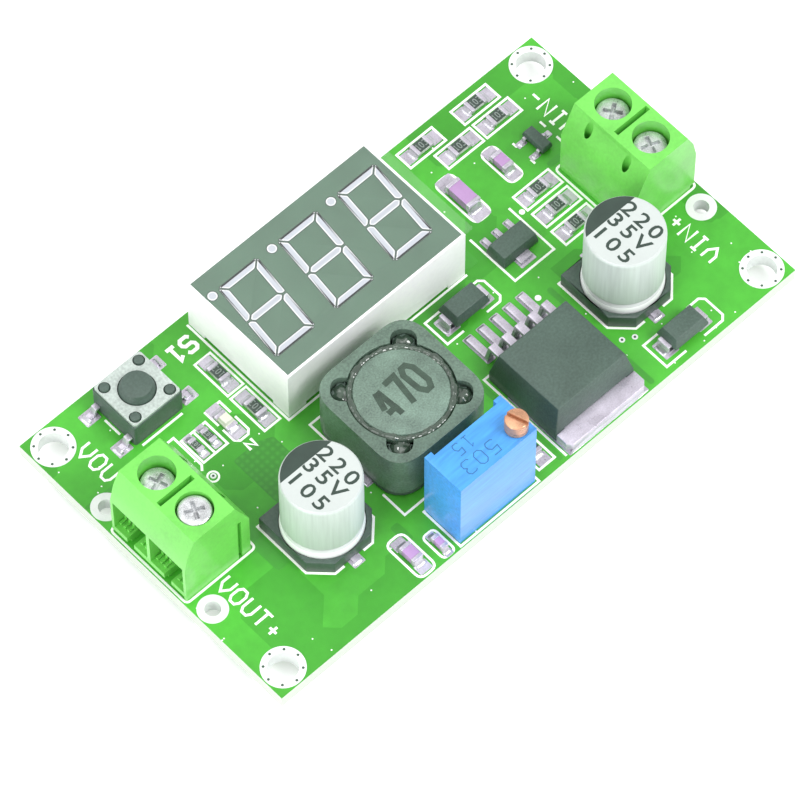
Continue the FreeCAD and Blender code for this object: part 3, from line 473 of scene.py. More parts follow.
class Graph:
    """Short ways to build a node tree."""

    def __init__(self, tree):
        self.tree = tree

    def feed(self, socket, value):
        """Links an output to the socket, or sets the socket to a colour or a value."""
        if isinstance(value, bpy.types.NodeSocket):
            self.tree.links.new(value, socket)
        else:
            socket.default_value = (*value[:3], 1) if socket.type == "RGBA" else value

    def add(self, kind, settings=None, **inputs):
        """A shader node with its settings, and its inputs fed by name, an underscore for a space."""
        node = self.tree.nodes.new("ShaderNode" + kind)
        for name, value in (settings or {}).items():
            setattr(node, name, value)
        for name, value in inputs.items():
            self.feed(node.inputs[name.replace("_", " ")], value)
        return node

    def maths(self, operation, *values):
        node = self.add("Math", {"operation": operation})
        for socket, value in zip(node.inputs, values):
            self.feed(socket, value)
        return node.outputs[0]

    def mix(self, factor, first, second):
        node = self.add("Mix", {"data_type": "RGBA"})
        for place, value in ((0, factor), (6, first), (7, second)):
            self.feed(node.inputs[place], value)
        return node.outputs[2]

    def place(self):
        return self.add("TexCoord").outputs["Object"]

    def along(self):
        """The place's three coordinates."""
        return self.add("SeparateXYZ", Vector=self.place()).outputs

    def flat(self, limit=0.5):
        """1 where the surface faces up or down, 0 on upright sides."""
        facing = self.add("SeparateXYZ", Vector=self.add("NewGeometry").outputs["Normal"])
        return self.maths("GREATER_THAN", self.maths("ABSOLUTE", facing.outputs["Z"]), limit)

    def seen(self):
        """1 for rays that show a surface or the sky, 0 for those that only carry light."""
        path = self.add("LightPath").outputs
        seen = self.maths("ADD", path["Is Camera Ray"], path["Is Glossy Ray"])
        return self.maths("MINIMUM", self.maths("ADD", seen, path["Is Transmission Ray"]), 1.0)


def new_group(name, inputs, outputs):
    """A node group; an input without a value is a vector, and one of four numbers a colour."""
    tree = bpy.data.node_groups.new(name, "ShaderNodeTree")
    for label, value in inputs.items():
        kind = "Vector" if value is None else "Color" if isinstance(value, tuple) else "Float"
        socket = tree.interface.new_socket(name=label, in_out="INPUT", socket_type="NodeSocket" + kind)
        if value is not None:
            socket.default_value = value
    for label, kind in outputs.items():
        tree.interface.new_socket(name=label, in_out="OUTPUT", socket_type="NodeSocket" + kind)
    groups[name] = tree
    return Graph(tree), tree.nodes.new("NodeGroupInput").outputs, tree.nodes.new("NodeGroupOutput").inputs


def make_groups():
    """The two shared effects: mottled is a colour that drifts between darker and lighter over broad patches
    and fine specks, grained the height of a fine moulded or rolled grain."""
    graph, start, end = new_group(
        "mottled", {"Vector": None, "Colour": (0.5, 0.5, 0.5, 1), "Patches": 200.0, "Variety": 0.1,
                    "Specks": 0.05}, {"Colour": "Color", "Mask": "Float"})
    broad = graph.add("TexNoise", Vector=start["Vector"], Scale=start["Patches"], Detail=4)
    fine_scale = graph.maths("MULTIPLY", start["Patches"], 14.0)
    fine = graph.add("TexNoise", Vector=start["Vector"], Scale=fine_scale, Detail=2)
    drift = graph.maths("MULTIPLY", graph.maths("SUBTRACT", broad.outputs[0], 0.5), start["Variety"])
    speck = graph.maths("MULTIPLY", graph.maths("SUBTRACT", fine.outputs[0], 0.5), start["Specks"])
    gain = graph.maths("MULTIPLY_ADD", graph.maths("ADD", drift, speck), 2.0, 1.0)
    scaled = graph.add("VectorMath", {"operation": "SCALE"}, Vector=start["Colour"], Scale=gain)
    graph.feed(end["Colour"], scaled.outputs[0])
    graph.feed(end["Mask"], broad.outputs[0])
    graph, start, end = new_group("grained", {"Vector": None, "Grain": 3000.0}, {"Height": "Float"})
    fine = graph.add("TexNoise", Vector=start["Vector"], Scale=start["Grain"], Detail=3, Roughness=0.6)
    graph.feed(end["Height"], fine.outputs[0])


def surface(name, colour, roughness=0.5, metallic=0.0, variety=0.1, patches=150.0, specks=0.06, grain=4000.0,
            relief=0.08, stretch=(1, 1, 1), coat=0.0):
    """A material whose colour is mottled, whose roughness follows the same patches and whose surface has a
    fine grain. Returns its graph, its shader and its mottled colour."""
    material = bpy.data.materials.new(name)
    material.use_nodes = True
    graph = Graph(material.node_tree)
    shader = graph.tree.nodes["Principled BSDF"].inputs
    where = graph.add("Mapping", Vector=graph.place(), Scale=stretch).outputs[0]
    mottled = graph.add("Group", {"node_tree": groups["mottled"]}, Vector=where, Colour=colour,
                        Patches=patches, Variety=variety, Specks=specks).outputs
    grained = graph.add("Group", {"node_tree": groups["grained"]}, Vector=where, Grain=grain).outputs
    bump = graph.add("Bump", Strength=relief, Distance=0.0001, Height=grained["Height"])
    spread = graph.maths("SUBTRACT", mottled["Mask"], 0.5)
    graph.feed(shader["Base Color"], mottled["Colour"])
    graph.feed(shader["Roughness"], graph.maths("MULTIPLY_ADD", spread, 0.24, roughness))
    graph.feed(shader["Normal"], bump.outputs["Normal"])
    shader["Metallic"].default_value = metallic
    if coat:
        shader["Coat Weight"].default_value = coat
        shader["Coat Roughness"].default_value = 0.15
    materials[name] = material
    return graph, shader, mottled["Colour"]


def make_materials(c):
    """Every finish of the module."""
    make_groups()
    board_material(c)
    surface("board_gap", tone(59, 152, 41), 0.36, variety=0.4, patches=120, relief=0.05, coat=0.15)
    quilt_material(c)
    surface("white_print", c.print_white, 0.6, variety=0.04, patches=600, relief=0.15)
    surface("tin", c.tin, 0.3, 0.5, variety=0.4, patches=500, specks=0.3, relief=0.2, grain=2500)
    surface("land", tone(230, 234, 232), 0.45, 0.1, variety=0.15, patches=500, relief=0.1)
    surface("solder", c.solder, 0.22, 0.6, variety=0.4, patches=700, specks=0.3, relief=0.4, grain=1800)
    # Vias: dark discs, painted shade that stands in for the shade inside tiny open holes.
    surface("via", tone(63, 86, 70), 0.4, 0.2, variety=0.2, patches=900)
    surface("terminal_green", c.terminal, 0.36, variety=0.28, patches=230, specks=0.12, grain=5000, coat=0.25)
    surface("plated_steel", c.plated, 0.3, 0.55, variety=0.7, patches=800, specks=0.8, relief=0.5, grain=2500)
    surface("brass", c.brass, 0.3, 0.6, variety=0.5, patches=900, specks=0.4, relief=0.3, grain=3000,
            stretch=(1, 1, 4))
    surface("black_resin", c.resin, variety=0.3, patches=300, specks=0.4, relief=0.25, grain=6000)
    surface("ferrite", c.ferrite, 0.42, variety=0.5, patches=350, specks=0.6, relief=0.3, grain=4500, coat=0.2)
    surface("disc", tone(106, 128, 115), 0.45, variety=0.7, patches=420, specks=0.6, relief=0.3, grain=4500)
    surface("glue", tone(50, 68, 55), 0.06, variety=0.7, patches=700, relief=0.8, grain=900, coat=1.0)
    surface("wire", c.copper_wire, 0.2, 0.4, patches=600, coat=0.6)
    can_material(c)
    surface("black_print", tone(44, 61, 53), variety=0.3, patches=800, relief=0.05)
    surface("stamp", tone(55, 73, 61), 0.6, variety=0.8, patches=900, specks=0.8)
    surface("black_base", c.base, 0.48, variety=0.3, patches=300, specks=0.3, relief=0.15, grain=5000)
    surface("trimmer_blue", c.trimmer, 0.32, variety=0.22, patches=230, specks=0.4, relief=0.12, grain=5000,
            stretch=(0.12, 1, 1), coat=0.2)
    surface("blue_mark", tone(46, 104, 155), 0.4, variety=0.2, patches=900)
    surface("grey_print", tone(135, 146, 141), patches=800)
    surface("white_ceramic", tone(214, 212, 205), 0.6, variety=0.06, patches=400)
    surface("spring_steel", tone(172, 174, 176), 0.3, 0.9, patches=600)
    surface("cover_steel", tone(185, 196, 190), 0.32, 0.4, variety=0.2, patches=260, specks=0.4, relief=0.15,
            grain=2500)
    surface("chip_ceramic", c.ceramic, 0.4, patches=500, relief=0.1)
    surface("light_lens", tone(216, 217, 203), 0.18, variety=0.06, patches=500, coat=0.5)
    graph, shader, mottle = surface("resistor", tone(59, 72, 66), 0.35, variety=0.12, patches=700)
    graph.feed(shader["Base Color"], graph.mix(graph.flat(), tone(201, 201, 203), mottle))
    display_shell_material(c)
    digit_material()
    shader = surface("clear_film", tone(214, 221, 217), 0.12, variety=0.03, patches=200, relief=0.2,
                     grain=300)[1]
    shader["Alpha"].default_value = 0.05


def board_material(c):
    """Green lacquer over blocky copper areas, with tiny pale specks, and sawn fibre on the upright edges."""
    graph, shader, mottle = surface("board_lacquer", c.mask_copper, 0.36, variety=0.5, patches=70, specks=0.14,
                                    relief=0.05, coat=0.15)
    shader["Specular IOR Level"].default_value = 0.35
    place = graph.place()
    areas = graph.add("TexVoronoi", {"voronoi_dimensions": "2D", "distance": "CHEBYCHEV"}, Vector=place,
                      Scale=130, Randomness=0.8)
    tint = graph.add("SeparateColor", Color=areas.outputs["Color"])
    bare = graph.maths("MULTIPLY", graph.maths("GREATER_THAN", tint.outputs[0], 0.74), 0.45)
    lacquer = graph.mix(bare, mottle, c.mask)
    dust = graph.add("TexVoronoi", {"voronoi_dimensions": "2D"}, Vector=place, Scale=520)
    pick = graph.add("SeparateColor", Color=dust.outputs["Color"])
    speck = graph.maths("MULTIPLY", graph.maths("LESS_THAN", dust.outputs["Distance"], 0.04),
                        graph.maths("GREATER_THAN", pick.outputs[1], 0.8))
    lacquer = graph.mix(speck, lacquer, c.print_white)
    fibre = graph.add("TexWave", {"bands_direction": "Z"}, Vector=place, Scale=2500, Distortion=2)
    edge = graph.mix(fibre.outputs["Fac"], c.board_edge, tuple(v * 0.8 for v in c.board_edge))
    graph.feed(shader["Base Color"], graph.mix(graph.flat(), edge, lacquer))


def quilt_material(c):
    """Lacquer over a fine copper grid: rows of low pillows, from two crossed waves."""
    graph, shader, mottle = surface("board_quilt", c.mask, 0.4, variety=0.12, patches=120, coat=0.15)
    place = graph.place()
    waves = [graph.add("TexWave", {"bands_direction": axis}, Vector=place, Scale=480).outputs["Fac"]
             for axis in ("X", "Y")]
    pillow = graph.maths("MULTIPLY", graph.maths("MULTIPLY", *waves), 0.4)
    graph.feed(shader["Base Color"], graph.mix(pillow, mottle, c.mask_copper))


def can_material(c):
    """Rolled can: streaked wall, a paler bead below its groove as a painted highlight, a dark line in the
    groove as painted shade, and a top toned greyer than the wall as painted shade against its bright lighting.
    """
    graph, shader, mottle = surface("can", c.can, 0.5, 0.12, variety=0.2, patches=240, specks=0.14,
                                    relief=0.05, grain=2200, stretch=(1, 1, 0.05))
    height = graph.along()["Z"]
    # Painted highlight: below 4.2 mm, on the rolled bead, the can is painted paler.
    paint = graph.mix(graph.maths("LESS_THAN", height, 4.2 * mm), mottle, tone(240, 244, 242))
    # Painted shade: a dark line painted along the groove, where its crease would hold shade.
    away = graph.maths("ABSOLUTE", graph.maths("SUBTRACT", height, 4.3 * mm))
    paint = graph.mix(graph.maths("LESS_THAN", away, 0.12 * mm), paint, tone(115, 132, 123))
    # Painted shade: faces that look up or down, chiefly the top, get a greyer tone that tones down how
    # brightly they are lit.
    paint = graph.mix(graph.maths("MULTIPLY", graph.flat(), 0.8), paint, tone(192, 198, 196))
    graph.feed(shader["Base Color"], paint)


def display_shell_material(c):
    """White shell whose upper face carries a dark print, set in from its edges by a narrow white margin."""
    graph, shader, mottle = surface("display_shell", c.display_shell, 0.45, variety=0.03, patches=120,
                                    grain=5000)
    low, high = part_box("display_housing")
    margin = 0.25 * mm
    inside = graph.flat(0.9)
    along = graph.along()
    for axis in (0, 1):
        away = graph.maths("ABSOLUTE", graph.maths("SUBTRACT", along[axis], (low[axis] + high[axis]) / 2))
        near = graph.maths("LESS_THAN", away, (high[axis] - low[axis]) / 2 - margin)
        inside = graph.maths("MULTIPLY", inside, near)
    inside = graph.maths("MULTIPLY", inside, graph.maths("GREATER_THAN", along[2], high[2] - 0.3 * mm))
    cloud = graph.add("TexNoise", Vector=graph.place(), Scale=260, Detail=4)
    face = graph.mix(cloud.outputs[0], *(tuple(v * gain for v in c.display_face) for gain in (0.78, 1.25)))
    graph.feed(shader["Base Color"], graph.mix(inside, mottle, face))


def digit_material():
    """Light guides: white towards their rim, greyer in the middle, from the piece's own rim attribute."""
    graph, shader, mottle = surface("light_guide", tone(221, 223, 225), 0.35, patches=500)
    rim = graph.add("Attribute", {"attribute_name": "rim"})
    graph.feed(shader["Base Color"], graph.mix(rim.outputs["Fac"], tone(186, 190, 199), mottle))


# The board

def fillet(x, y, reach, width, height, turn):
    """Solder that runs up an end face: over u from 0 at the face to 1 at the toe and v from -1 to 1 across,
    z = h (1-u)^2 (1 - v^6) over the pad, and the plan narrows with the same v."""
    u = np.linspace(0, 1, 7)[:, None]
    v = np.linspace(-1, 1, 13)[None, :]
    top = np.stack([u * reach * (1 - 0.15 * v ** 4), v * width / 2 + 0 * u,
                    0.05 + height * (1 - u) ** 2 * (1 - v ** 6)], axis=-1)
    under = top.size // 3
    index = np.arange(under).reshape(top.shape[:2])
    upper = np.stack([index[:-1, :-1], index[1:, :-1], index[1:, 1:], index[:-1, 1:]], axis=-1).reshape(-1, 4)
    rim = np.concatenate([index[0, :], index[1:, -1], index[-1, -2::-1], index[-2:0:-1, 0]])
    ahead = np.roll(rim, -1)
    wall = np.stack([rim, ahead, ahead + under, rim + under], axis=-1)
    faces = np.vstack([upper, upper[:, ::-1] + under, wall]).tolist()
    points = np.vstack([top.reshape(-1, 3), (top * [1, 1, 0]).reshape(-1, 3)])
    return moved((points, faces), x, y, board_top, turn)


def make_board(sizes):
    """Lacquered board with strips of gap between its copper areas, lands, plated holes and tiny vias. The vias
    are dark discs on the lands: painted shade that stands in for the shade inside their tiny holes.
    """
    repaint("circuit_board", "board_lacquer")
    lift = board_top + 0.012
    gaps = [(-24.4, -22.9, -8.2, -2.6), (-13.9, -12.9, -14.2, -11.9), (2.4, 3.0, -17.6, -2.6),
            (14.3, 14.9, -17.6, -3.4), (10.4, 11.9, 3.2, 17.6), (24.0, 32.9, 6.0, 6.7),
            (-32.9, -26.0, 8.6, 9.0)]
    strips = [eased([(x0, y0), (x1, y0), (x1, y1), (x0, y1)], 0.3, 2) for x0, x1, y0, y1 in gaps]
    piece("lacquer_gaps", [slab(strip, board_top, lift) for strip in strips], "board_gap")
    grid = eased([(-19.6, -3.2), (-15.1, -3.2), (-15.1, 2.6), (-16.6, 3.2), (-19.6, 3.2)], 0.3, 2)
    piece("lacquer_grid", slab(grid, board_top, lift), "board_quilt")
    lands, vias = [], []
    steps = sizes.round_steps
    for holes, lining, bore, rim in ((corner_holes, 1.47, 1.5, 2.15), (wire_holes, 0.78, 0.8, 1.5)):
        for x, y in holes:
            for z0, z1 in ((board_top, board_top + 0.05), (-0.05, 0.0)):
                lands.append(moved(washer(lining, rim, z0, z1, steps), x, y))
                if holes is corner_holes:
                    low, high = (z0, z1 + 0.004) if z1 > 0 else (z0 - 0.004, z1)
                    # Dark discs on the ring: painted shade in place of the via holes.
                    vias += [slab(circle(0.14, 12, *dot), low, high) for dot in circle(1.83, 8, x, y)]
            lands.append(moved(washer(lining, bore, 0, board_top, steps), x, y))
    for x, y in ((16.84, -12.83), (15.73, -12.23), (-22.0, 3.3)):
        lands.append(slab(circle(0.3, 16, x, y), board_top, board_top + 0.03))
        # A dark disc on the land: painted shade in place of the via hole.
        vias.append(slab(circle(0.13, 12, x, y), board_top, board_top + 0.036))
    piece("lands", lands, "land")
    piece("vias", vias, "via")


def make_pads(sizes):
    """Tinned pads under every surface part, with solder run up the ends of the chips and leads."""
    pads, solder = [], []

    def pad(x, y, length, width, toe=None):
        """A pad, and where a toe is given the solder on it: x, y, reach, width, height, turn."""
        outline = eased(rectangle(length, width), 0.12, 2) + [x, y]
        pads.append(slab(outline, board_top, board_top + sizes.pad_height / mm, 0.015))
        if toe:
            solder.append(fillet(*toe))

    for x, y, length, width, height, across in chip_seats:
        for side in sides:
            middle, end = side * (length * 0.34 + 0.74 * width), side * length / 2
            broad, narrow, rise = width * 1.16, width * 0.92, height * 0.6
            if across:
                pad(x, y + middle, broad, narrow, (x, y + end, 0.55, width, rise, side * 90))
            else:
                pad(x + middle, y, narrow, broad, (x + end, y, 0.55, width, rise, 90 - side * 90))
    for i in range(5):
        x = regulator_x + (i - 2) * 1.7
        pad(x, -3.775, 1.1, 3.55, (x, -2.35, 0.3, 0.9, 0.3, 90))
    pad(regulator_x, -13.6, 10.25, 8.5, (regulator_x, -17.66, 0.2, 10.0, 0.8, -90))
    for x, y in capacitor_places:
        for side in sides:
            pad(x, y + side * 4.0, 1.35, 2.3, (x, y + side * 4.72, 0.38, 1.1, 0.22, side * 90))
    x, y = -5.6, -4.75
    for side in sides:
        pad(x + side * 5.225, y, 3.25, 5.3, (x + side * 6.65, y, 0.2, 5.0, 0.2, 90 - side * 90))
    for x, y in diode_seats:
        for side in sides:
            pad(x + side * 2.2, y, 1.7, 2.05, (x + side * 2.58, y, 0.45, 1.5, 0.5, 90 - side * 90))
    x, y = -22.1, 13.55
    for a, b in corners:
        pad(x + a * 4.1, y + b * 2.25, 1.7, 1.5, (x + a * 4.36, y + b * 2.25, 0.55, 1.2, 0.3, 90 - a * 90))
    for i in (-1, 0, 1):
        x = meter_regulator_x + i * 1.5
        pad(x, 4.1, 0.8, 1.3, (x, 4.48, 0.26, 0.6, 0.3, 90))
    pad(meter_regulator_x, 0.4, 1.9, 1.25)
    x, y = transistor_seat
    for side, shift in ((-1, -0.95), (-1, 0.95), (1, 0)):
        pad(x + side * 1.2, y + shift, 1.1, 0.7, (x + side * 1.176, y + shift, 0.45, 0.5, 0.2, 90 - side * 90))
    piece("pads", pads, "tin")
    piece("solder", solder, "solder")


def make_print(sizes):
    """White lines round the parts and plain letters at the terminals."""
    z0 = board_top
    z1 = board_top + sizes.print_height / mm
    width = sizes.print_line / mm
    boxes = [
        (4.6, 2.0, 23.73, 16.15), (4.6, 2.0, 24.24, 13.6), (4.6, 2.0, 16.6, 16.15), (4.6, 2.0, 19.2, 13.6),
        (4.6, 2.0, 21.45, 5.1), (4.6, 2.0, 21.45, 2.5), (4.6, 2.0, 21.45, -0.15), (1.95, 4.6, -14.32, 10.95),
        (1.95, 4.7, -14.33, 5.9), (3.0, 3.1, -20.2, 6.5), (2.0, 4.6, 1.4, -14.65), (10.0, 4.95, -5.4, -15.3),
    ]
    shapes = [band(rectangle(*box), width, z0, z1) for box in boxes]
    rounded = [(20.92, 9.5, 1.75, 4.5, 0.75), (15.6, 9.3, 2.15, 5.9, 0.75), (-14.4, -15.35, 2.1, 4.8, 0.75),
               (-11.7, -16.2, 1.45, 3.0, 0.5), (-28.48, 0.35, 8.56, 10.54, 0.5),
               (28.48, 0.35, 8.56, 10.54, 0.5)]
    shapes += [band(eased(rectangle(w, h), by) + [x, y], width, z0, z1) for x, y, w, h, by in rounded]
    lines = [
        [(-12.89, 16.97), (-12.86, 2.87), (10.03, 2.89)],
        [(12.9, 5.5), (12.9, -0.7), (18.0, -0.7), (18.0, 5.5)],
        [(3.32, -17.6), (3.32, -6.48), (4.2, -6.48)], [(-11.8, -1.4), (-11.8, 1.15), (-9.2, 1.15)],
        [(-11.9, -8.9), (-11.9, -11.85), (-9.2, -11.85)], [(0.65, -1.4), (0.65, 1.5), (-2.0, 1.5)],
        [(5.6, 1.75), (3.5, 1.75), (3.5, -1.35), (5.6, -1.35)],
        [(8.6, 1.75), (10.3, 1.75), (10.75, 1.3), (10.75, -0.9), (10.3, -1.35), (8.6, -1.35)],
        [(18.6, -14.05), (16.75, -14.05), (16.75, -17.2), (19.3, -17.2)],
        [(22.6, -13.95), (24.1, -13.95), (24.55, -14.4), (24.55, -16.75), (24.1, -17.2), (21.7, -17.2)],
        [(23.3, 7.4), (23.3, 8.0)], [(23.3, 9.9), (23.3, 10.5)], [(26.9, 7.4), (26.9, 8.2)],
        [(26.9, 9.7), (26.9, 10.5)], [(-24.6, 16.9), (-19.6, 16.9)], [(-24.6, 10.2), (-19.6, 10.2)],
        [(-25.35, 14.6), (-25.35, 12.5)], [(-16.25, 7.2), (-16.25, 8.75), (-18.05, 8.75), (-18.05, 6.9)],
        [(-18.05, 6.3), (-18.05, 4.75), (-17.65, 4.35), (-16.65, 4.35), (-16.25, 4.75), (-16.25, 6.6)],
        [(-23.2, 8.8), (-22.0, 8.8), (-22.0, 4.9), (-22.4, 4.4)], [(-20.22, 7.9), (-20.22, 5.1)],
    ]
    half, cut, gap = 4.25, 1.9, 1.2
    for x, y in capacitor_places:
        lines += [[(x + side * gap, y - half), (x + side * (half - cut), y - half),
                   (x + side * half, y - half + cut), (x + side * half, y + half), (x + side * gap, y + half)]
                  for side in sides]
    shapes += [stroke(line, width, z0, z1) for line in lines]
    shapes.append(slab(circle(0.3, 16, 18.63, 4.35), z0, z1))
    shapes.append(slab(circle(0.32, 16, 13.16, -3.53), z0, z1))
    shapes.append(band(circle(0.55, 24, -22.05, 3.25), 0.2, z0, z1))
    tall = sizes.letter_height / mm
    for text, x, y, turn in (("VIN+", 28.45, -8.9, 90), ("VIN-", 28.5, 10.4, 90), ("VOUT+", -28.8, -9.2, -90),
                             ("VOUT-", -28.8, 10.1, -90)):
        shapes.append(lettering(text, tall, tall * 0.64, tall * 0.93, width * 1.05, x, y, z0, z1, turn))
    shapes.append(lettering("S1", tall, tall * 0.68, tall * 0.92, width * 1.6, -15.0, 15.3, z0, z1, 180))
    shapes.append(lettering("N", 0.95, 0.75, 1.0, 0.3, -17.2, 3.4, z0, z1, 180))
    piece("white_print", shapes, "white_print")


# The parts on it

def terminal_shape():
    """The two-pole block: a side profile carried across, then cut by wire windows with an open slot in each
    floor, screw and test holes, a slot between the poles, a keyway and a recess under the front."""
    profile = np.array([(-3.975, 0), (3.975, 0), (3.975, 6.0), (2.325, 9.75), (-2.675, 9.75), (-3.475, 8.0),
                        (-3.975, 5.7)])
    rows = np.array([np.column_stack([profile[:, 0], np.full(7, y), profile[:, 1]]) for y in (5.08, -5.08)])
    cutters = [brick(-4.1, -3.45, -4.78, 5.2, -0.1, 0.5)]
    for side in sides:
        y = 2.54 * side
        low, high = sorted((0.21 * side, 4.74 * side))
        cutters += [brick(-4.1, 1.525, low, high, 1.25, 5.7), brick(-2.1, 1.525, low, high, 0.6, 1.3),
                    brick(-4.1, -2.0, y - 0.475, y + 0.475, -0.1, 1.3),
                    moved(disc(1.8, 0.6, 10, 48), -0.275, y), moved(disc(0.425, 4.75, 10, 24), 2.875, y),
                    brick(-0.725, 0.175, y - 0.55, y + 0.55, -0.1, 0.7)]
    cutters += [brick(-2.375, 1.825, -0.275, 0.275, 8.45, 10), brick(2.5, 2.95, -5.2, -4.7, -0.1, 6.6)]
    return carved(skinned(rows), cutters)


def sill_shapes():
    """Rows of small stepped ribs on the floors of the two wire windows, both sides of the slot in each."""
    places = [side * y for side in sides for y in (0.5, 1.05, 1.6, 3.45, 4.0, 4.55)]
    return [brick(x0, -2.1, y - 0.16, y + 0.16, z0, z1) for y in places
            for x0, z0, z1 in ((-3.45, 1.2, 1.5), (-2.8, 1.45, 1.9))]


def make_terminals(sizes):
    """Both screw terminals with their cages, clamps and cross-recessed screws."""
    block, sills = terminal_shape(), sill_shapes()
    head = turned([(0, 8.3), (1.65, 8.3), (1.65, 9.22), (1.56, 9.38), (1.38, 9.46), (1.1, 9.5), (0, 9.5)],
                  sizes.round_steps)
    arm = raised(rectangle(2.0, 0.5), [(0.16, 9.05), (0.0, 9.6)])
    head = carved(head, [arm, moved(arm, turn=90)])
    shank = threaded(1.2, 0.2, sizes.thread_pitch / mm, 4.85, 8.3001)
    edge, fine_edge = sizes.edge / mm, sizes.fine_edge / mm
    for end, x, screw_x, turn, poles in (
            ("output", -28.625, -28.9, 0, (("negative", 2.89, 1.45, 20), ("positive", -2.19, 0.0, 65))),
            ("input", 28.625, 28.9, 180, (("negative", 2.89, 1.1, 35), ("positive", -2.19, 1.1, 70)))):
        piece(end + "_terminal", moved(block, x, 0.35, board_top, turn), "terminal_green",
              (end + "_terminal_housing",), edge=edge)
        piece(end + "_sills", [moved(sill, x, 0.35, board_top, turn) for sill in sills], "terminal_green",
              edge=0.05)
        for pole, y, lowered, spin in poles:
            key = end + "_" + pole
            refined(key + "_cage", "plated_steel", 0.05)
            refined(key + "_clamp", "plated_steel", 0.05, key + "_clamp")
            place = (screw_x, y, board_top - lowered)
            piece(key + "_clamp_screw", [moved(head, *place, spin), moved(shank, *place)], "plated_steel",
                  (key + "_screw",), key + "_screw", fine_edge)


def digit_outlines():
    """The seven segments of a digit and its point about the digit's own middle. The outer ones are cut off
    aslant at the corners, the middle one is pointed, and all lean by x + y tan 6.5 degrees."""
    w, gap = 0.7, 0.14
    a, b = 2.085 + w / 2, 4.21 + w / 2
    top = np.array([(-a + w + gap, b - w), (a - w - gap, b - w), (a - gap, b), (-a + gap, b)])
    right = np.array([(a, gap), (a, b - gap), (a - w, b - w - gap), (a - w, w / 2 + gap), (a - w / 2, gap)])
    middle = np.array([(-a + w / 2 + gap, 0), (-a + w + gap, -w / 2), (a - w - gap, -w / 2),
                       (a - w / 2 - gap, 0), (a - w - gap, w / 2), (-a + w + gap, w / 2)])
    outlines = [top, -top, middle, right, -right, right[::-1] * [-1, 1], right[::-1] * [1, -1]]
    outlines = [eased(outline, 0.12, 3) for outline in outlines]
    lean = math.tan(math.radians(6.5))
    return [outline + outline[:, 1:] * [lean, 0] for outline in outlines] + [circle(0.475, 32, -2.85, 4.32)]


def make_display(sizes):
    """The display: shell with its printed face, light guides, back plate, pins and protective film."""
    refined("display_housing", "display_shell", 0.15, segments=3)
    guides, rim, trims = [], [], []
    for place in (-7.5, 0.0, 7.5):
        for outline in digit_outlines():
            outline = outline + [display_x - 0.04 + place, 10.0]
            guides.append(raised(outline, [(0.0, 7.3), (0.0, 8.905), (0.09, 8.91), (0.14, 8.91)]))
            rim += [1.0] * (3 * len(outline)) + [0.0] * len(outline)
            trims.append(band(inset_outline(outline, -0.04), 0.1, 8.896, 8.904))
    points, faces = joined(guides)
    mesh = bpy.data.meshes.new("digits")
    mesh.from_pydata((points * mm).tolist(), [], faces)
    mesh.attributes.new("rim", "FLOAT", "POINT").data.foreach_set("value", rim)
    mesh.materials.append(materials["light_guide"])
    declared(linked("digits", mesh), "light_guide", "module", ("display_segments",))
    piece("digit_trims", trims, "black_print", slot="display_shell")
    repaint("display_backplate", "black_base")
    refined("display_pins", "tin", sizes.fine_edge / mm)
    left, right, tab = display_x - 11.3, display_x + 12.3, 1.4
    film = eased([(left, 3.05), (right, 3.05), (right, 16.95), (left - tab, 16.95), (left - tab, 15.45),
                  (left, 15.45)], 0.2, 3)
    piece("film", slab(film, 8.93, 8.975), "clear_film", ("display_film",))


def make_inductor(sizes):
    """The shielded inductor: shield with four corner channels, drum, winding, glue ring and base."""
    steps = sizes.round_steps
    shield = slab(eased(rectangle(12.3, 12.3), 3.105, 10), 2.3, 8.1)
    channel = slab(eased([(0, -1.25), (6.6, -1.25), (6.6, 1.25), (0, 1.25)], 1.2, 8), 2.0, 9)
    turns = [90 * corner for corner in range(4)]
    shield = carved(shield, [disc(5.2, 2.0, 9, 96)] + [moved(channel, turn=45 + turn) for turn in turns])
    piece("inductor_ring", moved(shield, *inductor_seat), "ferrite", ("inductor_shield",), edge=0.36)
    refined("inductor_base", "black_base", 0.08)
    drum = turned([(0, 2.3), (4.5, 2.3), (4.6, 2.4), (4.6, 3.4), (4.5, 3.5), (2.2, 3.5), (2.2, 6.8),
                   (4.5, 6.8), (4.6, 6.9), (4.6, 7.75), (4.52, 7.92), (4.36, 8.0), (0, 8.0)], steps)
    piece("inductor_core", moved(drum, *inductor_seat), "disc", ("inductor_drum",))
    z = np.linspace(3.5, 6.8, 67)
    r = 4.3 - 0.14 * (1 - np.abs(np.sin(np.pi * (z - 3.5) / 0.55)))
    winding = turned([(2.2, 3.5), *zip(r.tolist(), z.tolist()), (2.2, 6.8)], steps, True)
    piece("inductor_coil", moved(winding, *inductor_seat), "wire", ("inductor_winding",))
    t = np.linspace(0, 2 * np.pi, 240, endpoint=False)[None, :]
    around = np.linspace(0, 2 * np.pi, 12, endpoint=False)[:, None]
    lump = 0.06 * np.sin(7 * t + 1) + 0.05 * np.sin(17 * t) + 0.03 * np.sin(41 * t + 2)
    pools = [wrapped(4.84 + (0.4 + lump) * np.cos(around), t, 7.62 + (0.42 + lump) * np.sin(around), True)]
    points, faces = turned([(0, 5.6), (1.1, 5.6), (1.22, 6.6), (1.16, 7.1), (0.95, 7.4), (0.7, 7.56),
                            (0.4, 7.64), (0, 7.66)], 32)
    points[:, 2] += 0.16 * np.sin(points[:, 0] * 4) * np.cos(points[:, 1] * 5)
    for turn in turns:
        a = math.radians(45 + turn)
        pools.append(moved((points, faces), 5.5 * math.cos(a), 5.5 * math.sin(a), turn=turn / 90 * 80))
    piece("glue", [moved(pool, *inductor_seat) for pool in pools], "glue")
    repaint("inductor_terminals", "tin")
    piece("inductor_value", lettering("470", 3.3, 1.3, 1.95, 0.6, *inductor_seat, 8.0, 8.012, 4), "stamp")


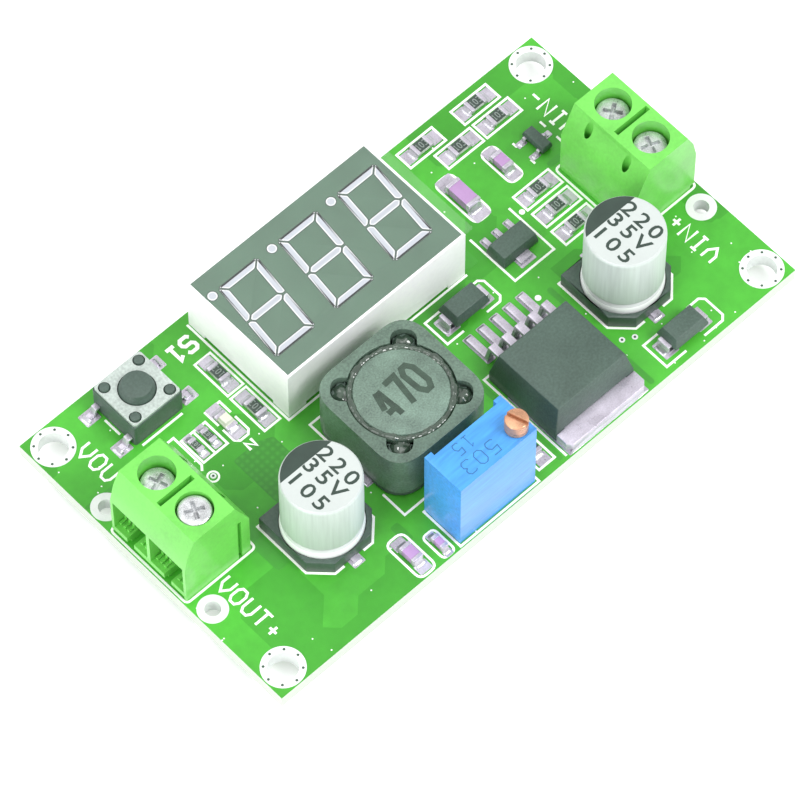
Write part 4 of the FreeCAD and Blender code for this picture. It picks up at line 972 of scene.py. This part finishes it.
def make_capacitors(sizes):
    """Rolled cans on their bases, with a black segment and plain numbers printed on their tops."""
    profile = [(0, 2.2), (3.78, 2.2), (3.92, 2.32), (4.0, 2.6), (4.0, 3.3), (3.97, 3.62), (3.9, 3.86),
               (3.8, 4.02), (3.68, 4.12), (3.62, 4.22), (3.64, 4.34), (3.74, 4.44), (3.86, 4.54), (3.9, 4.7),
               (3.9, 11.2), (3.88, 11.38), (3.82, 11.52), (3.72, 11.6), (0, 11.6)]
    radius, chord = 3.74, 2.0
    start = math.asin(chord / radius)
    t = np.linspace(start, math.pi - start, 33)
    prints = [slab(np.column_stack([radius * np.cos(t), radius * np.sin(t)]), 11.59, 11.612)]
    for text, along in (("220", 1.85), ("35V", 0.05), ("105", -1.95)):
        prints += [moved(letters(letter, 1.5, 0.03, 1.22, 0.02), along, 1.43 - place * 1.73, 11.6, -90)
                   for place, letter in enumerate(text)]
    for name, seat in capacitor_seats.items():
        piece(name + "_shell", moved(turned(profile, 96), *seat), "can", (name + "_can",))
        piece(name + "_print", [moved(shape, *seat) for shape in prints], "black_print")
        refined(name + "_base", "black_base", 0.12)
        refined(name + "_leads", "tin", sizes.fine_edge / mm)


def make_regulator():
    """The power regulator: moulded body, soldered tab and five leads."""
    refined("regulator_body", "black_resin", 0.12)
    refined("regulator_tab", "tin", 0.08)
    refined("regulator_leads", "tin", 0.06)


def make_trimmer(sizes):
    """The many-turn trimmer: blue case, brass screw with its slot, wheel, element, seal and pins."""
    refined("trimmer_housing", "trimmer_blue", 0.18, segments=3)
    head = turned([(0, 11.65), (1.08, 11.65), (1.135, 11.72), (1.135, 13.22), (1.08, 13.31), (0.98, 13.35),
                   (0, 13.35)], sizes.round_steps)
    head = carved(head, [moved(slab(rectangle(3, 0.4), 12.85, 13.6), turn=-72)])
    shank = threaded(0.65, 0.08, 0.8, 2.5, 11.65)
    piece("adjusting_screw", [moved(shape, *trimmer_screw_seat) for shape in (head, shank)], "brass",
          ("trimmer_screw",), "trimmer_screw", sizes.fine_edge / mm)
    for node, finish in (("wheel", "black_base"), ("element", "white_ceramic"), ("seal", "black_base"),
                         ("pins", "tin")):
        repaint("trimmer_" + node, finish)
    marks = [lettering("503", 1.5, 0.95, 1.5, 0.1, -6.46, -16.18, 11.6, 11.61, 180),
             lettering("15", 1.3, 0.7, 1.2, 0.1, -6.78, -14.22, 11.6, 11.61, 180)]
    piece("trimmer_marks", marks, "blue_mark")


def make_switch(sizes):
    """The push button: base with its well and rivets, steel cover, snap dome, button and leads."""
    steps = sizes.round_steps
    rivet_places = [(2.15 * a, 2.15 * b) for a, b in corners]
    base = carved(slab(eased(rectangle(6, 6), 0.3, 3), 1.65, 4.7), [disc(2.4, 2.8, 5, steps)])
    rivet = turned([(0, 4.6), (0.5, 4.6), (0.5, 5.05), (0.44, 5.16), (0.3, 5.2), (0, 5.2)], 32)
    shapes = [base] + [moved(rivet, *place) for place in rivet_places]
    piece("button_base", [moved(shape, *switch_seat) for shape in shapes], "black_base", ("switch_base",))
    holes = [disc(1.85, 4.5, 5.2, steps)] + [moved(disc(0.6, 4.5, 5.2, 32), *place) for place in rivet_places]
    cover = carved(slab(eased(rectangle(5.8, 5.8), 0.35), 4.7, 5.0), holes)
    piece("button_cover", moved(cover, *switch_seat), "cover_steel", ("switch_cover",),
          edge=sizes.fine_edge / mm)
    button = turned([(0, 3.3), (2.2, 3.3), (2.2, 4.65), (1.75, 4.65), (1.75, 5.05), (1.66, 5.3), (1.55, 5.7),
                     (1.46, 5.84), (1.3, 5.9), (0, 5.9)], steps)
    piece("push_button", moved(button, *switch_seat), "black_base", ("switch_button",), "switch_button")
    repaint("switch_dome", "spring_steel")
    refined("switch_leads", "tin", 0.05)


def make_small_parts(sizes):
    """Diodes, small packages, chip parts, the status light and the chip under the display."""
    for node in ("diode_bodies", "meter_regulator_body", "transistor_body", "meter_chip_body"):
        refined(node, "black_resin", 0.08)
    for node in ("diode_leads", "meter_regulator_leads", "transistor_leads", "chip_end_caps"):
        refined(node, "tin", sizes.fine_edge / mm)
    repaint("meter_chip_leads", "tin")
    refined("chip_resistors", "resistor", 0.03)
    marks = []
    for x, y, length, width, height, across in chip_seats:
        if height < 0.6 and (x, y) != status_light:
            tall, top = width * 0.5, board_top + height
            marks.append(lettering("103", tall, tall * 0.42, tall * 0.7, 0.09, x, y, top - 0.01, top + 0.008,
                                   90 if across else 0))
    piece("resistor_marks", marks, "grey_print")
    refined("chip_capacitors", "chip_ceramic", 0.05)
    refined("status_led", "light_lens", 0.06)


def make_joints():
    """Solder cones round the pin tails under the board: r falls from a wide foot to the pin as (1 - s)^2."""
    seats = [(x, y, 0.64) for x in (-28.9, 28.9) for y in (2.89, -2.19)]
    seats += [(display_x + (i - 2.5) * 2.54, 4.92, 0.354) for i in range(6)]
    seats += [(display_x + (i - 2) * 2.54, 15.08, 0.354) for i in range(5)]
    seats += [(-5.4813 + i * 2.54, -15.35, 0.25) for i in (-1, 0, 1)]
    s = np.linspace(0, 1, 9)
    cones = []
    for x, y, pin in seats:
        r = pin + 0.06 + 0.38 * (1 - s) ** 2
        cones.append(moved(turned([(0, 0), *zip(r.tolist(), (-0.88 * s).tolist()), (0, -0.89)], 32), x, y))
    piece("pin_joints", cones, "solder", ("pin_solder_joints",))


# The stage

def make_stage(sizes):
    """Pale floor, soft lamps and a camera at the photograph's angle."""
    scene = bpy.context.scene
    scene.view_settings.view_transform = "Standard"
    corners_of_floor = np.column_stack([rectangle(6, 6), np.zeros(4)])
    floor = linked("floor", mesh_of("floor", (corners_of_floor, [[0, 1, 2, 3]])))
    floor.data.transform(Matrix.Translation((0, 0, -1.52 * mm)))
    paper = bpy.data.materials.new("paper")
    paper.use_nodes = True
    graph = Graph(paper.node_tree)
    shader = graph.tree.nodes["Principled BSDF"].inputs
    glow = graph.maths("MULTIPLY", graph.seen(), 0.4)
    for name, value in (("Base Color", (0.8, 0.8, 0.81)), ("Roughness", 0.9), ("Specular IOR Level", 0.1),
                        ("Emission Color", (1, 1, 1)), ("Emission Strength", glow)):
        graph.feed(shader[name], value)
    floor.data.materials.append(paper)
    world = bpy.data.worlds.new("studio")
    world.use_nodes = True
    scene.world = world
    graph = Graph(world.node_tree)
    sky = graph.tree.nodes["Background"].inputs
    graph.feed(sky["Color"], (1, 1, 1))
    graph.feed(sky["Strength"], graph.maths("MULTIPLY_ADD", graph.seen(), 0.25, 0.75))
    for name, place, size, power in (("key", (0.25, -0.55, 0.75), 0.5, 6.25),
                                     ("top", (-0.2, 0.2, 0.9), 0.7, 2.0),
                                     ("side", (-0.8, -0.1, 0.35), 0.5, 3.75)):
        lamp = bpy.data.lights.new(name, "AREA")
        lamp.shape = "DISK"
        lamp.size = size
        lamp.energy = power
        item = linked(name, lamp)
        item.location = place
        item.rotation_euler = (-Vector(place)).to_track_quat("-Z", "Y").to_euler()
    camera = bpy.data.cameras.new("camera")
    camera.lens = sizes.lens / mm
    camera.sensor_width = 36
    camera.clip_start = 0.01
    camera.clip_end = 20
    scene.camera = linked("camera", camera)
    right = Vector((0.7286939631, -0.6848357924, -0.0022462500))
    down = Vector((-0.5965076816, -0.6330910406, -0.4933298289))
    ahead = Vector((0.3364278435, 0.3608263735, -0.8698394302))
    turn = Matrix((right, -down, -ahead)).transposed().to_4x4()
    scene.camera.matrix_world = Matrix.Translation(Vector((-188.71, -200.91, 479.51)) * mm) @ turn


class MODULE_OT_finishes(bpy.types.Operator):
    """Makes every material"""
    bl_idname = "module.finishes"
    bl_label = "Finishes"

    def execute(self, context):
        make_materials(context.scene.module_colours)
        return {"FINISHED"}


class MODULE_OT_board(bpy.types.Operator):
    """Paints the board and lays its lands, vias and lacquer"""
    bl_idname = "module.board"
    bl_label = "Board"

    def execute(self, context):
        make_board(context.scene.module_sizes)
        return {"FINISHED"}


class MODULE_OT_pads(bpy.types.Operator):
    """Lays the tinned pads and their solder"""
    bl_idname = "module.pads"
    bl_label = "Pads"

    def execute(self, context):
        make_pads(context.scene.module_sizes)
        return {"FINISHED"}


class MODULE_OT_print(bpy.types.Operator):
    """Prints the white lines and letters"""
    bl_idname = "module.print"
    bl_label = "Print"

    def execute(self, context):
        make_print(context.scene.module_sizes)
        return {"FINISHED"}


class MODULE_OT_terminals(bpy.types.Operator):
    """Builds both screw terminals"""
    bl_idname = "module.terminals"
    bl_label = "Terminals"

    def execute(self, context):
        make_terminals(context.scene.module_sizes)
        return {"FINISHED"}


class MODULE_OT_display(bpy.types.Operator):
    """Builds the three-digit display"""
    bl_idname = "module.display"
    bl_label = "Display"

    def execute(self, context):
        make_display(context.scene.module_sizes)
        return {"FINISHED"}


class MODULE_OT_inductor(bpy.types.Operator):
    """Builds the shielded inductor"""
    bl_idname = "module.inductor"
    bl_label = "Inductor"

    def execute(self, context):
        make_inductor(context.scene.module_sizes)
        return {"FINISHED"}


class MODULE_OT_capacitors(bpy.types.Operator):
    """Builds both capacitors"""
    bl_idname = "module.capacitors"
    bl_label = "Capacitors"

    def execute(self, context):
        make_capacitors(context.scene.module_sizes)
        return {"FINISHED"}


class MODULE_OT_regulator(bpy.types.Operator):
    """Finishes the power regulator"""
    bl_idname = "module.regulator"
    bl_label = "Regulator"

    def execute(self, context):
        make_regulator()
        return {"FINISHED"}


class MODULE_OT_trimmer(bpy.types.Operator):
    """Builds the many-turn trimmer"""
    bl_idname = "module.trimmer"
    bl_label = "Trimmer"

    def execute(self, context):
        make_trimmer(context.scene.module_sizes)
        return {"FINISHED"}


class MODULE_OT_button(bpy.types.Operator):
    """Builds the push button"""
    bl_idname = "module.button"
    bl_label = "Push button"

    def execute(self, context):
        make_switch(context.scene.module_sizes)
        return {"FINISHED"}


class MODULE_OT_small_parts(bpy.types.Operator):
    """Finishes diodes, chips and chip parts"""
    bl_idname = "module.small_parts"
    bl_label = "Small parts"

    def execute(self, context):
        make_small_parts(context.scene.module_sizes)
        return {"FINISHED"}


class MODULE_OT_joints(bpy.types.Operator):
    """Builds the joints under the board"""
    bl_idname = "module.joints"
    bl_label = "Solder joints"

    def execute(self, context):
        make_joints()
        return {"FINISHED"}


class MODULE_OT_stage(bpy.types.Operator):
    """Sets up floor, lamps and camera"""
    bl_idname = "module.stage"
    bl_label = "Stage"

    def execute(self, context):
        make_stage(context.scene.module_sizes)
        return {"FINISHED"}


steps = [MODULE_OT_finishes, MODULE_OT_board, MODULE_OT_pads, MODULE_OT_print, MODULE_OT_terminals,
         MODULE_OT_display, MODULE_OT_inductor, MODULE_OT_capacitors, MODULE_OT_regulator,
         MODULE_OT_trimmer, MODULE_OT_button, MODULE_OT_small_parts, MODULE_OT_joints, MODULE_OT_stage]


class MODULE_PT_panel(bpy.types.Panel):
    """Lists the settings and the steps that build the module"""
    bl_idname = "MODULE_PT_panel"
    bl_label = "Buck converter module"
    bl_space_type = "VIEW_3D"
    bl_region_type = "UI"
    bl_category = "Module"

    def draw(self, context):
        for group in (context.scene.module_colours, context.scene.module_sizes):
            for name in group.__annotations__:
                self.layout.prop(group, name)
        for step in steps:
            self.layout.operator(step.bl_idname)


classes = [ModuleColours, ModuleSizes, *steps, MODULE_PT_panel]


def register():
    for item in classes:
        bpy.utils.register_class(item)
    bpy.types.Scene.module_colours = PointerProperty(type=ModuleColours)
    bpy.types.Scene.module_sizes = PointerProperty(type=ModuleSizes)


def unregister():
    del bpy.types.Scene.module_sizes
    del bpy.types.Scene.module_colours
    for item in reversed(classes):
        bpy.utils.unregister_class(item)


def main():
    register()
    for step in steps:
        getattr(bpy.ops.module, step.bl_idname.split(".")[1])()


if __name__ == "__main__":
    main()
